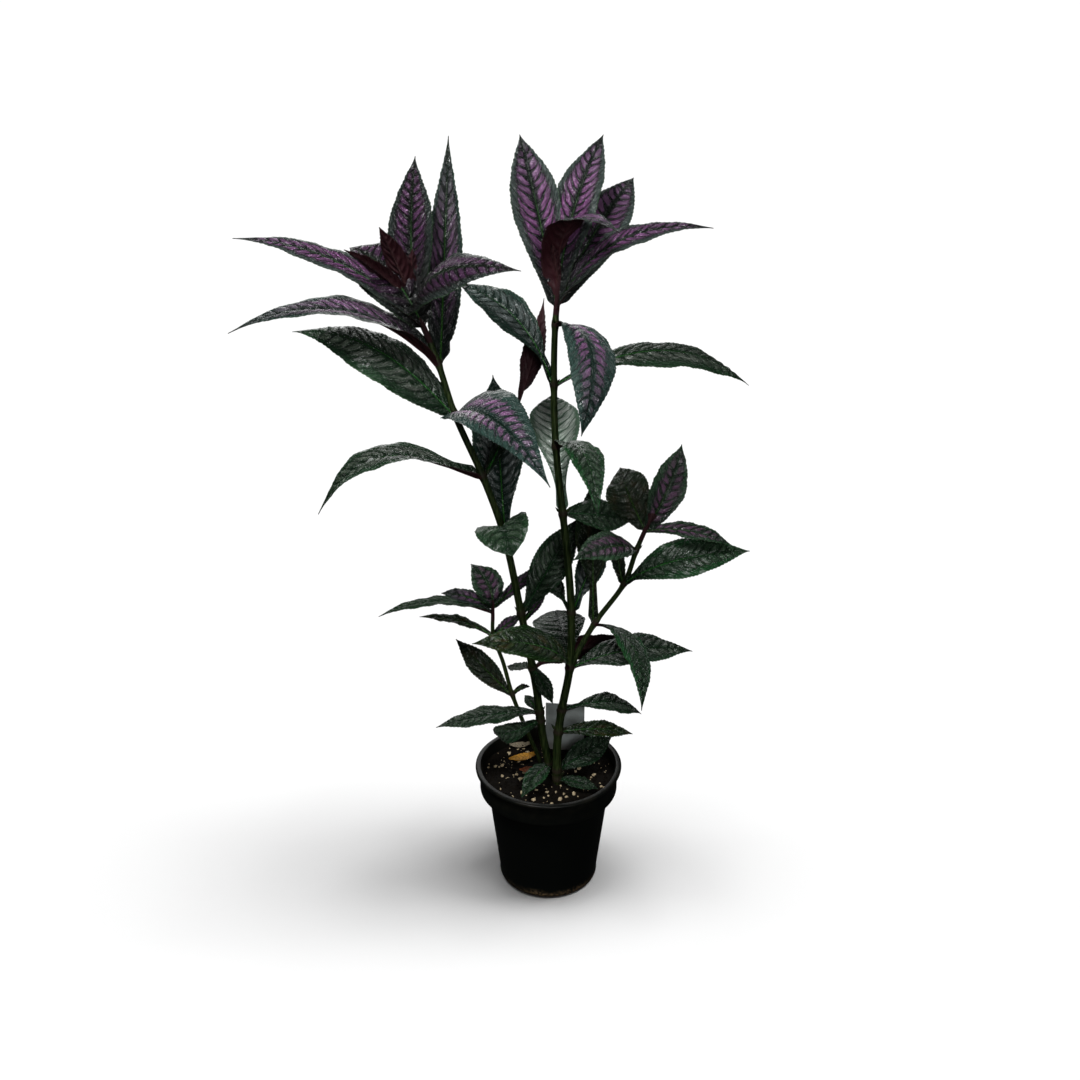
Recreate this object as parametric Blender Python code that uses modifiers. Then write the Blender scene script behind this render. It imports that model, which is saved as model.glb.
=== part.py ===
"""Persian shield plant in its nursery pot, modelled at its real size.

Metres, Z up. The origin is the middle of the pot's base, and the plant is seen
from -Y, so +X is to the viewer's right. Points listed for the plant are in
millimetres, because a plant is measured with a ruler from its pot.
"""

import math
from collections import namedtuple
from functools import partial

import bmesh
import bpy
import numpy as np

MM = 0.001
GAP = 0.0003
MERGE = 0.00001

# Pot: a 15 cm nursery pot
POT_HEIGHT = 0.137
LIP_RADIUS = 0.0775
LIP_HEIGHT = 0.005
COLLAR_RADIUS = 0.0725
COLLAR_HEIGHT = 0.028
COLLAR_DRAFT = 0.0004
SHOULDER_HEIGHT = 0.003
BODY_TOP_RADIUS = 0.064
BASE_RADIUS = 0.0525
BASE_ROUNDING = 0.006
POT_WALL = 0.002
POT_STEPS = 36
DRAIN_HOLES = 5
DRAIN_RADIUS = 0.004
DRAIN_RING = 0.034

# Soil: a level surface below the lip, falling a little at the wall
SOIL_TOP = 0.124
SOIL_EDGE_WIDTH = 0.003
SOIL_EDGE_DROP = 0.002
SOIL_HOLE_BOTTOM = 0.094
HOLE_TOP = 0.134

# Label: a blank plastic plate pushed into the soil behind the stems
LABEL_WIDTH = 0.042
LABEL_HEIGHT = 0.086
LABEL_THICKNESS = 0.0012
LABEL_ROUNDING = 0.0004
LABEL_PLACE = (0.018, 0.045)
LABEL_BOTTOM = 0.096
LABEL_TURN = math.radians(-8)

# Stems: round tubes that thicken at each leaf joint
JOINT_SWELL = 1.3
JOINT_LENGTH = 0.004
STEM_STEP = 0.018

# Leaves
BLADE_THICKNESS = 0.0008
STALK_THICKNESS = 0.0022
STALK_HALF_WIDTH = 0.0016
TIP_HALF_WIDTH = 0.0005
WING_START = 0.06
DRIP = 0.05
TOOTH = 0.05
BLADE_ARCH = 0.16
ARCH_START = 0.02
CHANNEL_START = 0.1
FLAT_TIP = 0.1
WAVES = 2.5
HALF_PHASE = 1.1
RIB_SHARE = 0.5
STALK_FADE = 0.2
LARGE_LEAF = 0.12
SMALL_LEAF = 0.05
LARGE_GRID = (9, 4)
MIDDLE_GRID = (7, 4)
SMALL_GRID = (6, 2)

# Dropped leaves
FALLEN_GRID = (6, 4)
FALLEN_END = 0.12

Stem = namedtuple("Stem", "route foot_radius top_radius joints")
Leaf = namedtuple("Leaf", "name stem joint tip width face bow fold wave look skew twist neck wing foot point "
                  "channel", defaults=(1.0, 0, 0.06, 4, 1.1, 1.1, 0.5))
Young = partial(Leaf, neck=0.0, wing=7, foot=1.4, point=0.95)

# Each route is the middle of a stem, from inside the soil to its growing tip
STEMS = {
    "left": Stem(
        [(2, 2, 95), (2, 2, 124), (-6, 0, 170), (-13, 0, 230), (-28, -2, 317), (-45, -4, 407),
         (-64, -5, 466), (-89, -5, 529), (-103, -3, 577), (-116, 0, 612), (-128, 0, 640)],
        4.2, 2.6, (135, 190, 200, 252, 317, 407, 466, 529, 577)),
    "right": Stem(
        [(9, -18, 95), (9, -18, 124), (9, -18, 175), (13, -17, 211), (21, -15, 261), (22, -12, 323),
         (18, -10, 381), (13, -8, 428), (6, -5, 496), (4, 0, 556), (5, 0, 614), (9, 0, 660)],
        4.3, 2.6, (130, 140, 187, 213, 262, 323, 428, 496, 556, 614)),
    "branch": Stem(
        [(20, -15, 255), (30, -13, 280), (46, -10, 310), (74, -10, 354), (85, -10, 390), (96, -10, 420)],
        2.9, 2.2, (310, 354, 390)),
    "side": Stem(
        [(-8, 15, 95), (-8, 15, 124), (-21, 15, 162), (-38, 15, 212), (-47, 15, 250), (-57, 15, 284),
         (-57, 15, 305), (-57, 15, 324)],
        2.4, 1.8, (212, 282)),
}

# Height at which each stem node ends and its growing tip begins
SHOOT_STARTS = {"left": 598, "right": 624, "branch": 402, "side": 300}

# Leaves by stem and joint height: tip point, width, direction of the upper face,
# bow towards that face, depth of the fold along the midrib, edge wave, and look.
# Some have the bow's top moved along, a turn in degrees from foot to tip, a longer
# neck with wider wings, other powers for the swell of the foot and the point, or
# another depth for the channel, which is the deeper fold at the foot
LEAVES = [
    Leaf("left_577_upright", "left", 577, (-93, 75, 770), 35, (0.1, -1, 0.25), 0.03, 0.20, 1.5, "dusky",
         neck=0.10, wing=12, foot=0.6, point=1.2),
    Leaf("left_577_arching", "left", 577, (-284, -50, 620), 46, (0, -0.15, 1), 0.20, 0.28, 1.5, "dusky",
         wing=8, foot=0.9, point=1.2, channel=1.0),
    Leaf("left_529_broad", "left", 529, (-240, 20, 601), 54, (-0.1, -0.6, 1), 0.23, -0.20, 1.5, "green",
         skew=1.1, neck=0.02, wing=7, foot=0.9, point=1.2),
    Leaf("left_529_front", "left", 529, (0, -110, 498), 62, (0.3, -0.8, 0.8), 0.24, 0.40, 1.0, "pink",
         neck=0.0, wing=7, foot=0.6, point=1.2, channel=0),
    Leaf("left_466_arching", "left", 466, (-216, -50, 446), 40, (-0.1, -0.18, 1), 0.29, 0.28, 2.0, "green",
         skew=1.25, neck=0.16, wing=8, channel=1.0),
    Leaf("left_466_back", "left", 466, (-5, 60, 622), 28, (0.6, -0.8, 0.2), 0.08, 0.20, 1.0, "green",
         twist=280, wing=3, foot=1.0, point=1.0),
    Leaf("left_407_upright", "left", 407, (-55, 60, 546), 54, (0.1, -1, 0.3), 0.06, 0.15, 1.5, "ribbed",
         skew=2.0, wing=6, foot=1.7, point=1.3),
    Leaf("left_407_front", "left", 407, (-34, -86, 420), 58, (-0.2, -0.6, 1), 0.26, 0.40, 1.0, "slate",
         skew=1.6, wing=4, foot=1.4, point=0.4, channel=0.2),
    Leaf("left_317_right", "left", 317, (29, 40, 402), 40, (-0.2, -1, 0.3), 0.05, 0.15, 1.5, "slate",
         neck=0.10, wing=5),
    Leaf("left_317_back", "left", 308, (-3, 30, 323), 9, (0, -1, 0.4), 0.05, 0.20, 0.5, "dusky"),
    Leaf("left_252_right", "left", 252, (96, 40, 256), 44, (0, 0.8, 0.3), 0.10, 0.15, 1.5, "slate"),
    Leaf("left_252_back", "left", 252, (-44, 50, 226), 16, (0, -0.6, 1), 0.0, 0.20, 0.8, "slate"),
    Leaf("left_252_low", "left", 252, (4, -25, 225), 17, (0.3, -1, 0.4), 0.20, 0.10, 0.5, "slate"),
    Leaf("left_200_long", "left", 200, (-115, -30, 200), 32, (0, -0.1, 1), 0.06, 0.10, 1.5, "slate"),
    Leaf("left_200_front", "left", 190, (-55, -62, 217), 23, (-0.2, -0.8, 0.7), -0.18, 0.10, 1.0, "slate"),
    Leaf("left_200_small", "left", 200, (-25, 25, 205), 13, (0, -0.6, 1), 0.10, 0.10, 0.5, "green"),
    Leaf("left_135_low", "left", 135, (-28, -58, 134), 22, (0, -0.5, 1), 0.14, 0.20, 0.8, "fresh"),

    Leaf("right_614_hanging", "right", 614, (27, -100, 542), 52, (0.5, -0.6, 0.7), 0.34, 0.10, 1.0, "pink",
         wing=5, foot=0.9, point=0.9),
    Leaf("right_556_right", "right", 556, (192, 40, 542), 40, (0, -0.4, 1), 0.22, -0.10, 2.0, "green",
         neck=0.12, wing=3),
    Leaf("right_556_left", "right", 556, (-87, 40, 642), 46, (0.4, -0.6, 0.9), 0.21, 0.15, 1.5, "ribbed",
         neck=0.20, wing=5),
    Leaf("right_496_front", "right", 496, (42, -110, 470), 38, (0.4, -0.7, 0.7), 0.26, 0.15, 1.0, "slate",
         neck=0.03, foot=0.8),
    Leaf("right_428_upright", "right", 428, (3, 85, 517), 56, (0, -1, 0.5), 0.12, 0.05, 1.0, "silver",
         neck=0.15, wing=6, foot=1.7, point=0.6),
    Leaf("right_428_right", "right", 428, (82, 8, 414), 38, (0, -0.7, 1), 0.06, 0.15, 1.5, "slate", wing=6),
    Leaf("right_323_left", "right", 323, (-2, 40, 341), 17, (0.2, -1, 0.5), 0.05, 0.20, 1.0, "slate",
         neck=0.25, wing=2),
    Leaf("right_323_right", "right", 323, (55, 50, 375), 30, (-0.2, -1, 0.3), 0.06, 0.20, 1.0, "ribbed",
         neck=0.20, wing=5),
    Leaf("right_262_left", "right", 262, (-75, -55, 311), 42, (0, -0.5, 1), 0.20, 0.20, 1.5, "mottled",
         skew=0.85, wing=5),
    Leaf("right_262_upright", "right", 262, (6, 90, 271), 60, (0, -0.5, 1), 0.18, -0.05, 1.0, "slate",
         foot=1.2, point=0.6),
    Leaf("right_262_right", "right", 262, (146, 0, 272), 44, (0, -0.3, 1), 0.12, 0.15, 2.0, "green"),
    Leaf("right_213_right", "right", 213, (98, 20, 185), 30, (0, -0.3, 1), 0.16, 0.10, 1.0, "slate",
         neck=0.15, wing=3),
    Leaf("right_187_right", "right", 187, (88, 0, 173), 21, (0, -0.5, 1), 0.11, 0.20, 1.0, "mottled"),
    Leaf("right_148_right", "right", 140, (68, 25, 154), 30, (-0.1, -0.8, 0.8), 0.03, 0.20, 1.0, "slate"),
    Leaf("right_148_low", "right", 130, (51, -40, 132), 16, (0, -0.4, 1), 0.06, 0.20, 0.8, "slate", wing=3),

    Leaf("branch_310_upright", "branch", 310, (42, 25, 448), 36, (0, -1, 0.3), 0.05, 0.20, 1.5, "brown",
         neck=0.30, wing=5),
    Leaf("branch_310_front", "branch", 310, (88, -100, 263), 38, (0.8, -0.6, 0.7), 0.25, 0.10, 1.0, "fresh",
         foot=0.9),
    Leaf("branch_354_right", "branch", 354, (194, -20, 394), 44, (0, -0.8, 1), 0.19, 0.20, 1.5, "fresh",
         skew=0.85, neck=0.10),
    Leaf("branch_354_left", "branch", 354, (62, 0, 404), 14, (0, -1, 0.3), 0.05, 0.20, 0.8, "brown"),
    Leaf("branch_390_left", "branch", 390, (22, -70, 408), 38, (0, -0.6, 1), 0.14, 0.20, 1.0, "teal"),

    Leaf("side_282_left", "side", 282, (-132, 20, 301), 17, (0, -0.1, 1), 0.10, 0.20, 1.0, "mottled", wing=3),
    Leaf("side_282_right", "side", 282, (-28, 30, 298), 14, (0, -0.6, 1), 0.08, 0.20, 0.5, "dusky"),
    Leaf("side_212_left", "side", 212, (-97, 40, 264), 27, (-0.3, -1, 0.6), 0.02, 0.20, 1.5, "brown", wing=3),
    Leaf("side_212_right", "side", 212, (-20, 40, 207), 8, (0, -0.5, 1), 0.15, 0.20, 0.5, "brown", wing=2),
]

# Young leaves of each growing tip, fused with it
SHOOT_LEAVES = [
    Young("long", "left", 610, (-281, -10, 695), 36, (0, -0.35, 1), 0.14, 0.15, 1.5, "purple", foot=1.0, point=1.2),
    Young("back", "left", 612, (-185, 40, 675), 62, (0.4, -1, 0.6), 0.30, 0.15, 1.5, "plum", foot=1.0),
    Young("upright", "left", 628, (-122, 50, 756), 45, (-0.3, -1, 0.35), 0.08, 0.15, 1.5, "plum",
          foot=1.2, point=1.2),
    Young("front", "left", 629, (-25, -80, 683), 56, (0, -0.75, 1), 0.20, -0.15, 1.5, "plum",
          wing=9, foot=0.7, point=1.2),
    Young("young_left", "left", 632, (-149, -25, 708), 23, (0.2, 1, 0), 0.05, 0.40, 0.5, "purple", foot=0.9),
    Young("young_front", "left", 636, (-178, -45, 693), 17, (0.2, 1, 0.6), 0.05, 0.40, 0.5, "purple", foot=0.9),
    Young("young_back", "left", 638, (-123, 0, 683), 12, (0, 1, 0.2), 0.05, 0.40, 0.5, "purple"),

    Young("left", "right", 630, (-27, 30, 778), 48, (0.2, -1, 0.3), 0.05, 0.15, 1.5, "purple", foot=1.5),
    Young("upright", "right", 638, (48, 50, 775), 46, (-0.5, -1, 0.3), 0.12, 0.15, 1.5, "purple"),
    Young("back", "right", 632, (77, 60, 735), 54, (-0.3, -1, 0.6), 0.10, 0.10, 1.5, "purple",
          foot=1.1, point=0.8),
    Young("long", "right", 628, (144, -10, 704), 32, (0, -0.4, 1), 0.22, 0.15, 1.5, "purple", foot=1.0, point=1.1),
    Young("front", "right", 640, (58, -74, 714), 42, (-0.6, 0.8, 0.5), 0.35, 0.25, 1.0, "purple",
          foot=1.0, point=1.1),
    Young("young", "right", 650, (2, -12, 690), 9, (0.2, 1, 0), 0.05, 0.40, 0.5, "purple"),

    Young("upright", "branch", 414, (128, 20, 489), 42, (0.5, -1, 0.2), 0.10, 0.15, 1.0, "teal",
          foot=1.2, point=1.1, wing=5),
    Young("back", "branch", 412, (70, 40, 457), 48, (-0.3, -1, 0.4), 0.15, 0.15, 1.0, "brown", wing=5),
    Young("right", "branch", 410, (173, -30, 406), 23, (0, -0.4, 1), 0.12, 0.25, 1.0, "teal", wing=4),
    Young("young", "branch", 417, (100, -20, 434), 11, (0, 1, 0.3), 0.05, 0.40, 0.5, "purple", wing=2),

    Young("upright", "side", 316, (-79, 30, 356), 36, (0.8, -1, 0.2), 0.28, 0.15, 1.0, "teal", wing=3, foot=1.0),
    Young("left", "side", 314, (-109, 20, 328), 19, (0, -0.5, 1), 0.12, 0.20, 1.0, "dusky", wing=3),
    Young("long", "side", 308, (-170, -10, 317), 22, (0, 0, 1), 0.13, 0.20, 1.0, "slate", wing=3, foot=1.0),
    Young("right", "side", 314, (-8, 60, 339), 14, (0, -0.8, 0.8), 0.06, 0.20, 0.8, "dusky", wing=3),
]

# Lights that shine on the floor alone: where each stands at a height of 3 m, and its share
FLOOR_SUNS = ((-0.35, 0.0, 1.0), (0.25, 0.0, 0.9), (3.0, 0.1, 1.3), (-2.6, 0.1, 0.55))

# Leaves that have dropped on the soil: middle, turn about Z in degrees, length, width, cup, look
FALLEN = [
    ("fallen_leaf_yellow", (-27, 28), 20, 32, 12, 0.10, "yellow"),
    ("fallen_leaf_orange", (-20, 5), 10, 22, 9, 0.08, "orange"),
    ("fallen_leaf_pale", (-30, 50), 10, 24, 9, 0.20, "pale"),
]

# Colour, roughness and metallic value of each look
LOOKS = {
    "pot": ((0.012, 0.013, 0.012), 0.42, 0.0),
    "soil": ((0.035, 0.022, 0.013), 0.95, 0.0),
    "label": ((0.42, 0.44, 0.43), 0.45, 0.0),
    "stem": ((0.035, 0.050, 0.015), 0.55, 0.0),
    "purple": ((0.190, 0.080, 0.190), 0.38, 0.0),
    "pink": ((0.110, 0.080, 0.110), 0.40, 0.0),
    "dusky": ((0.055, 0.045, 0.055), 0.42, 0.0),
    "teal": ((0.070, 0.080, 0.080), 0.42, 0.0),
    "silver": ((0.150, 0.190, 0.170), 0.38, 0.0),
    "ribbed": ((0.050, 0.075, 0.060), 0.42, 0.0),
    "slate": ((0.045, 0.070, 0.060), 0.42, 0.0),
    "green": ((0.035, 0.065, 0.048), 0.45, 0.0),
    "fresh": ((0.040, 0.090, 0.045), 0.45, 0.0),
    "mottled": ((0.045, 0.075, 0.035), 0.50, 0.0),
    "brown": ((0.045, 0.038, 0.022), 0.50, 0.0),
    "yellow": ((0.420, 0.240, 0.030), 0.60, 0.0),
    "orange": ((0.200, 0.055, 0.010), 0.60, 0.0),
    "pale": ((0.350, 0.300, 0.220), 0.65, 0.0),
}


# Scene

def clear_scene():
    for thing in list(bpy.data.objects):
        bpy.data.objects.remove(thing, do_unlink=True)


def new_collection(name):
    collection = bpy.data.collections.new(name)
    bpy.context.scene.collection.children.link(collection)
    return collection


def node_material(name, look):
    colour, roughness, metallic = LOOKS[look]
    material = bpy.data.materials.new(name)
    material.use_nodes = True
    shader = material.node_tree.nodes["Principled BSDF"]
    shader.inputs["Base Color"].default_value = (*colour, 1.0)
    shader.inputs["Roughness"].default_value = roughness
    shader.inputs["Metallic"].default_value = metallic
    material.diffuse_color = (*colour, 1.0)
    return material


def new_object(name, data, collection, look=None):
    thing = bpy.data.objects.new(name, data)
    collection.objects.link(thing)
    if look:
        data.materials.append(node_material(name, look))
    return thing


def as_cutter(thing):
    thing.hide_render = True
    thing.display_type = "WIRE"
    return thing


def cut(thing, cutter):
    boolean = thing.modifiers.new("cut_" + cutter.name, "BOOLEAN")
    boolean.operation = "DIFFERENCE"
    boolean.solver = "EXACT"
    boolean.object = cutter


def solid_mesh(thing):
    """Turn an object with modifiers, or a curve, into one welded mesh object."""
    bpy.context.view_layer.update()
    evaluated = thing.evaluated_get(bpy.context.evaluated_depsgraph_get())
    mesh = bpy.data.meshes.new_from_object(evaluated)
    work = bmesh.new()
    work.from_mesh(mesh)
    bmesh.ops.remove_doubles(work, verts=work.verts, dist=MERGE)
    work.to_mesh(mesh)
    work.free()
    name = thing.name
    solid = bpy.data.objects.new(name + "_solid", mesh)
    solid.matrix_world = thing.matrix_world
    thing.users_collection[0].objects.link(solid)
    bpy.data.objects.remove(thing)
    solid.name = name
    return solid


def fuse(core, additions):
    """Join a core and its additions into one body with one union."""
    material = core.data.materials[0]
    group = bpy.data.collections.new(core.name + "_additions")
    bpy.context.scene.collection.children.link(group)
    for addition in additions:
        for home in list(addition.users_collection):
            home.objects.unlink(addition)
        group.objects.link(addition)
    union = core.modifiers.new("union", "BOOLEAN")
    union.operation = "UNION"
    union.solver = "EXACT"
    union.operand_type = "COLLECTION"
    union.collection = group
    body = solid_mesh(core)
    for addition in list(group.objects):
        bpy.data.objects.remove(addition)
    bpy.data.collections.remove(group)
    body.data.materials.clear()
    body.data.materials.append(material)


# Pot and soil

def arc(centre, radius, start, end, count):
    """Points on an arc in the (radius, height) plane, angles in degrees."""
    angles = np.radians(np.linspace(start, end, count))
    return [(centre[0] + radius * math.cos(a), centre[1] + radius * math.sin(a)) for a in angles]


def turned(name, profile, collection, look):
    """A profile of (radius, height) points turned about Z."""
    mesh = bpy.data.meshes.new(name)
    points = [(radius, 0.0, height) for radius, height in profile]
    edges = [(i, i + 1) for i in range(len(points) - 1)]
    mesh.from_pydata(points, edges, [])
    thing = new_object(name, mesh, collection, look)
    screw = thing.modifiers.new("turn", "SCREW")
    screw.steps = POT_STEPS
    screw.render_steps = POT_STEPS
    screw.use_merge_vertices = True
    screw.merge_threshold = MERGE
    screw.use_smooth_shade = True
    return thing


def shoulder_heights():
    """Heights between which the wall steps out from the body to the collar."""
    top = POT_HEIGHT - COLLAR_HEIGHT
    return top - SHOULDER_HEIGHT, top


def pot_profile():
    low, high = shoulder_heights()
    inner_corner = BASE_ROUNDING - POT_WALL
    lip = LIP_HEIGHT / 2
    profile = [(0.0, POT_WALL)]
    profile += arc((BASE_RADIUS - BASE_ROUNDING, BASE_ROUNDING), inner_corner, -90, 0, 2)
    profile += [(BODY_TOP_RADIUS - POT_WALL, low + POT_WALL), (COLLAR_RADIUS - POT_WALL, high + POT_WALL)]
    profile += [(COLLAR_RADIUS - POT_WALL, POT_HEIGHT - lip)]
    profile += arc((COLLAR_RADIUS, POT_HEIGHT - lip / 2), lip / 2, 120, 90, 2)
    profile += arc((LIP_RADIUS - lip, POT_HEIGHT - lip), lip, 90, -90, 4)
    profile += [(COLLAR_RADIUS + COLLAR_DRAFT, POT_HEIGHT - LIP_HEIGHT)]
    profile += [(COLLAR_RADIUS, high), (BODY_TOP_RADIUS, low)]
    profile += arc((BASE_RADIUS - BASE_ROUNDING, BASE_ROUNDING), BASE_ROUNDING, 0, -90, 3)
    profile += [(0.0, 0.0)]
    return profile


def make_pot(collection, cutters):
    pot = turned("pot", pot_profile(), collection, "pot")
    for number in range(DRAIN_HOLES):
        angle = 2 * math.pi * number / DRAIN_HOLES
        work = bmesh.new()
        bmesh.ops.create_cone(work, cap_ends=True, segments=12, radius1=DRAIN_RADIUS,
                              radius2=DRAIN_RADIUS, depth=4 * POT_WALL)
        mesh = bpy.data.meshes.new("drain_cutter")
        work.to_mesh(mesh)
        work.free()
        cutter = as_cutter(new_object(f"drain_cutter_{number}", mesh, cutters))
        cutter.location = (DRAIN_RING * math.cos(angle), DRAIN_RING * math.sin(angle), POT_WALL / 2)
        cut(pot, cutter)


def soil_profile():
    low, high = shoulder_heights()
    side = POT_WALL + GAP
    edge = COLLAR_RADIUS - side
    profile = [(0.0, SOIL_TOP), (edge - SOIL_EDGE_WIDTH, SOIL_TOP), (edge, SOIL_TOP - SOIL_EDGE_DROP)]
    profile += [(edge, high + side), (BODY_TOP_RADIUS - side, low + side)]
    profile += [(BASE_RADIUS - side, BASE_ROUNDING), (BASE_RADIUS - BASE_ROUNDING, side), (0.0, side)]
    return profile


def make_soil(collection, cutters):
    soil = turned("soil", soil_profile(), collection, "soil")
    for name in ("left", "right", "side"):
        hole = stem_tube(name + "_hole", STEMS[name], SOIL_HOLE_BOTTOM - GAP, HOLE_TOP, GAP, cutters)
        cut(soil, as_cutter(solid_mesh(hole)))
    label_size = np.array([LABEL_WIDTH, LABEL_THICKNESS, LABEL_HEIGHT])
    slot = box("label_slot", label_size + 2 * GAP, cutters)
    place_label(slot)
    cut(soil, as_cutter(slot))


def box(name, size, collection, look=None):
    work = bmesh.new()
    bmesh.ops.create_cube(work, size=1.0)
    bmesh.ops.scale(work, vec=size, verts=work.verts)
    mesh = bpy.data.meshes.new(name)
    work.to_mesh(mesh)
    work.free()
    return new_object(name, mesh, collection, look)


def place_label(thing):
    thing.location = (*LABEL_PLACE, LABEL_BOTTOM + LABEL_HEIGHT / 2)
    thing.rotation_euler = (0.0, 0.0, LABEL_TURN)


def make_label(collection):
    label = box("plant_label", (LABEL_WIDTH, LABEL_THICKNESS, LABEL_HEIGHT), collection, "label")
    place_label(label)
    corners = label.modifiers.new("corners", "BEVEL")
    corners.width = LABEL_ROUNDING
    corners.segments = 1


# Stems

def slopes(heights, values):
    """Slope of a smooth curve through the points of a route, at each of them."""
    rise = np.diff(values, axis=0) / np.diff(heights)[:, None]
    inner = (rise[1:] + rise[:-1]) / 2
    return np.vstack([rise[:1], inner, rise[-1:]])


def stem_point(stem, heights):
    """Middle of the stem at heights in metres, by cubic curves between its route's points."""
    route = np.array(stem.route, float) * MM
    levels = route[:, 2]
    tangents = slopes(levels, route[:, :2])
    heights = np.atleast_1d(heights)
    index = np.clip(np.searchsorted(levels, heights) - 1, 0, len(levels) - 2)
    span = (levels[index + 1] - levels[index])[:, None]
    u = ((heights - levels[index]) / span[:, 0])[:, None]
    start = route[index, :2] * (2 * u**3 - 3 * u**2 + 1) + tangents[index] * span * (u**3 - 2 * u**2 + u)
    end = route[index + 1, :2] * (3 * u**2 - 2 * u**3) + tangents[index + 1] * span * (u**3 - u**2)
    return np.column_stack([start + end, heights])


def stem_radius(stem, heights):
    """Radius in metres: an even taper, swollen at each joint."""
    low, high = stem.route[0][2] * MM, stem.route[-1][2] * MM
    share = np.clip((np.atleast_1d(heights) - low) / (high - low), 0, 1)
    radius = (stem.foot_radius + (stem.top_radius - stem.foot_radius) * share) * MM
    for joint in stem.joints:
        distance = np.abs(np.atleast_1d(heights) - joint * MM)
        radius = radius * (1 + (JOINT_SWELL - 1) * np.clip(1 - distance / (2 * JOINT_LENGTH), 0, 1))
    return radius


def stem_levels(stem, low, high):
    """Heights of the rings of a stem: even steps, and three rings at each joint."""
    levels = list(np.linspace(low, high, max(2, round((high - low) / STEM_STEP) + 1)))
    inner = [j * MM for j in stem.joints if low + JOINT_LENGTH < j * MM < high - JOINT_LENGTH]
    levels = [z for z in levels if all(abs(z - j) > 3 * JOINT_LENGTH for j in inner) or z in (low, high)]
    for joint in inner:
        levels += [joint - 2 * JOINT_LENGTH, joint, joint + 2 * JOINT_LENGTH]
    return np.array(sorted(z for z in levels if low <= z <= high))


def stem_tube(name, stem, low, high, clearance, collection, look=None):
    """A tube along a stem between two heights, its radius larger by the clearance."""
    levels = stem_levels(stem, low, high)
    points = stem_point(stem, levels)
    radii = stem_radius(stem, levels) + clearance
    curve = bpy.data.curves.new(name, "CURVE")
    curve.dimensions = "3D"
    curve.bevel_depth = 1.0
    curve.bevel_resolution = 2
    curve.use_fill_caps = True
    spline = curve.splines.new("POLY")
    spline.points.add(len(points) - 1)
    for spot, point, radius in zip(spline.points, points, radii):
        spot.co = (*point, 1.0)
        spot.radius = radius
    return new_object(name, curve, collection, look)


def make_stems(collection):
    tops = {name: SHOOT_STARTS[name] * MM - GAP for name in STEMS}
    for name in ("left", "right", "side"):
        tube = stem_tube("stem_" + name, STEMS[name], SOIL_HOLE_BOTTOM, tops[name], 0.0, collection, "stem")
        stem = solid_mesh(tube)
        if name == "right":
            foot = STEMS["branch"].route[0][2] * MM
            arm = stem_tube("branch", STEMS["branch"], foot, tops["branch"], 0.0, collection)
            fuse(stem, [solid_mesh(arm)])


# Leaves

def unit(vector):
    return vector / np.linalg.norm(vector)


def stand_off(radius, along, out, across, start):
    """Distance from a stem's middle to a stalk's foot, whose nearest corner just clears the stem."""
    half = STALK_HALF_WIDTH + TIP_HALF_WIDTH
    under = -STALK_THICKNESS * np.cross(across, start)
    distance = 0.0
    for side in (-half, 0.0, half):
        for corner in (side * across, side * across + under):
            reach = corner @ out
            sideways = corner @ corner - (corner @ along) ** 2 - reach**2
            distance = max(distance, math.sqrt(max(0.0, (radius + GAP) ** 2 - sideways)) - reach)
    return distance


def leaf_frame(leaf, sunk):
    """Base point, chord to the tip, and the directions across and up from the blade."""
    stem = STEMS[leaf.stem]
    height = leaf.joint * MM
    low, middle, high = stem_point(stem, [height - MM, height, height + MM])
    along = unit(high - low)
    tip = np.array(leaf.tip, float) * MM
    face = unit(np.array(leaf.face, float))
    chord = tip - middle
    length = np.linalg.norm(chord)
    across = unit(np.cross(chord, face))
    up = unit(np.cross(across, chord))
    start = unit(chord / length + leaf.bow * arch(leaf, 0.0)[1] * up)
    out = unit(start - along * (start @ along))
    base = middle
    if not sunk:
        base = middle + out * stand_off(stem_radius(stem, height)[0], along, out, across, start)
    return base, tip - base, across, up


def leaf_outline(leaf, t):
    """Half width along the leaf, and how full the blade is there, from 0 to 1.

    The blade rises by one power and falls by another, with its peak at 1, and is
    pinched into a drip tip. Narrow wings run down both sides of its foot.
    """
    u = np.clip((t - leaf.neck) / (1 - leaf.neck), 0, 1)
    widest = leaf.foot / (leaf.foot + leaf.point)
    blade = (u / widest) ** leaf.foot * ((1 - u) / (1 - widest)) ** leaf.point
    blade = blade * (1 - u) / (1 - u + DRIP) * (1 + DRIP)
    start = np.clip(t / WING_START, 0, 1)
    wing = min(leaf.wing, leaf.width / 4) * MM
    narrow = (STALK_HALF_WIDTH * (1 - start) + wing * start) * (1 - t) ** 1.5 + TIP_HALF_WIDTH
    return narrow + (leaf.width * MM / 2 - narrow).clip(0) * blade, blade


def arch(leaf, t):
    """Height and slope of the midrib's bow: a parabola whose top can lie nearer the tip."""
    t = np.clip(t, ARCH_START, 1)
    skewed = t**leaf.skew
    return 4 * skewed * (1 - skewed), 4 * leaf.skew * skewed / t * (1 - 2 * skewed)


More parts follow.
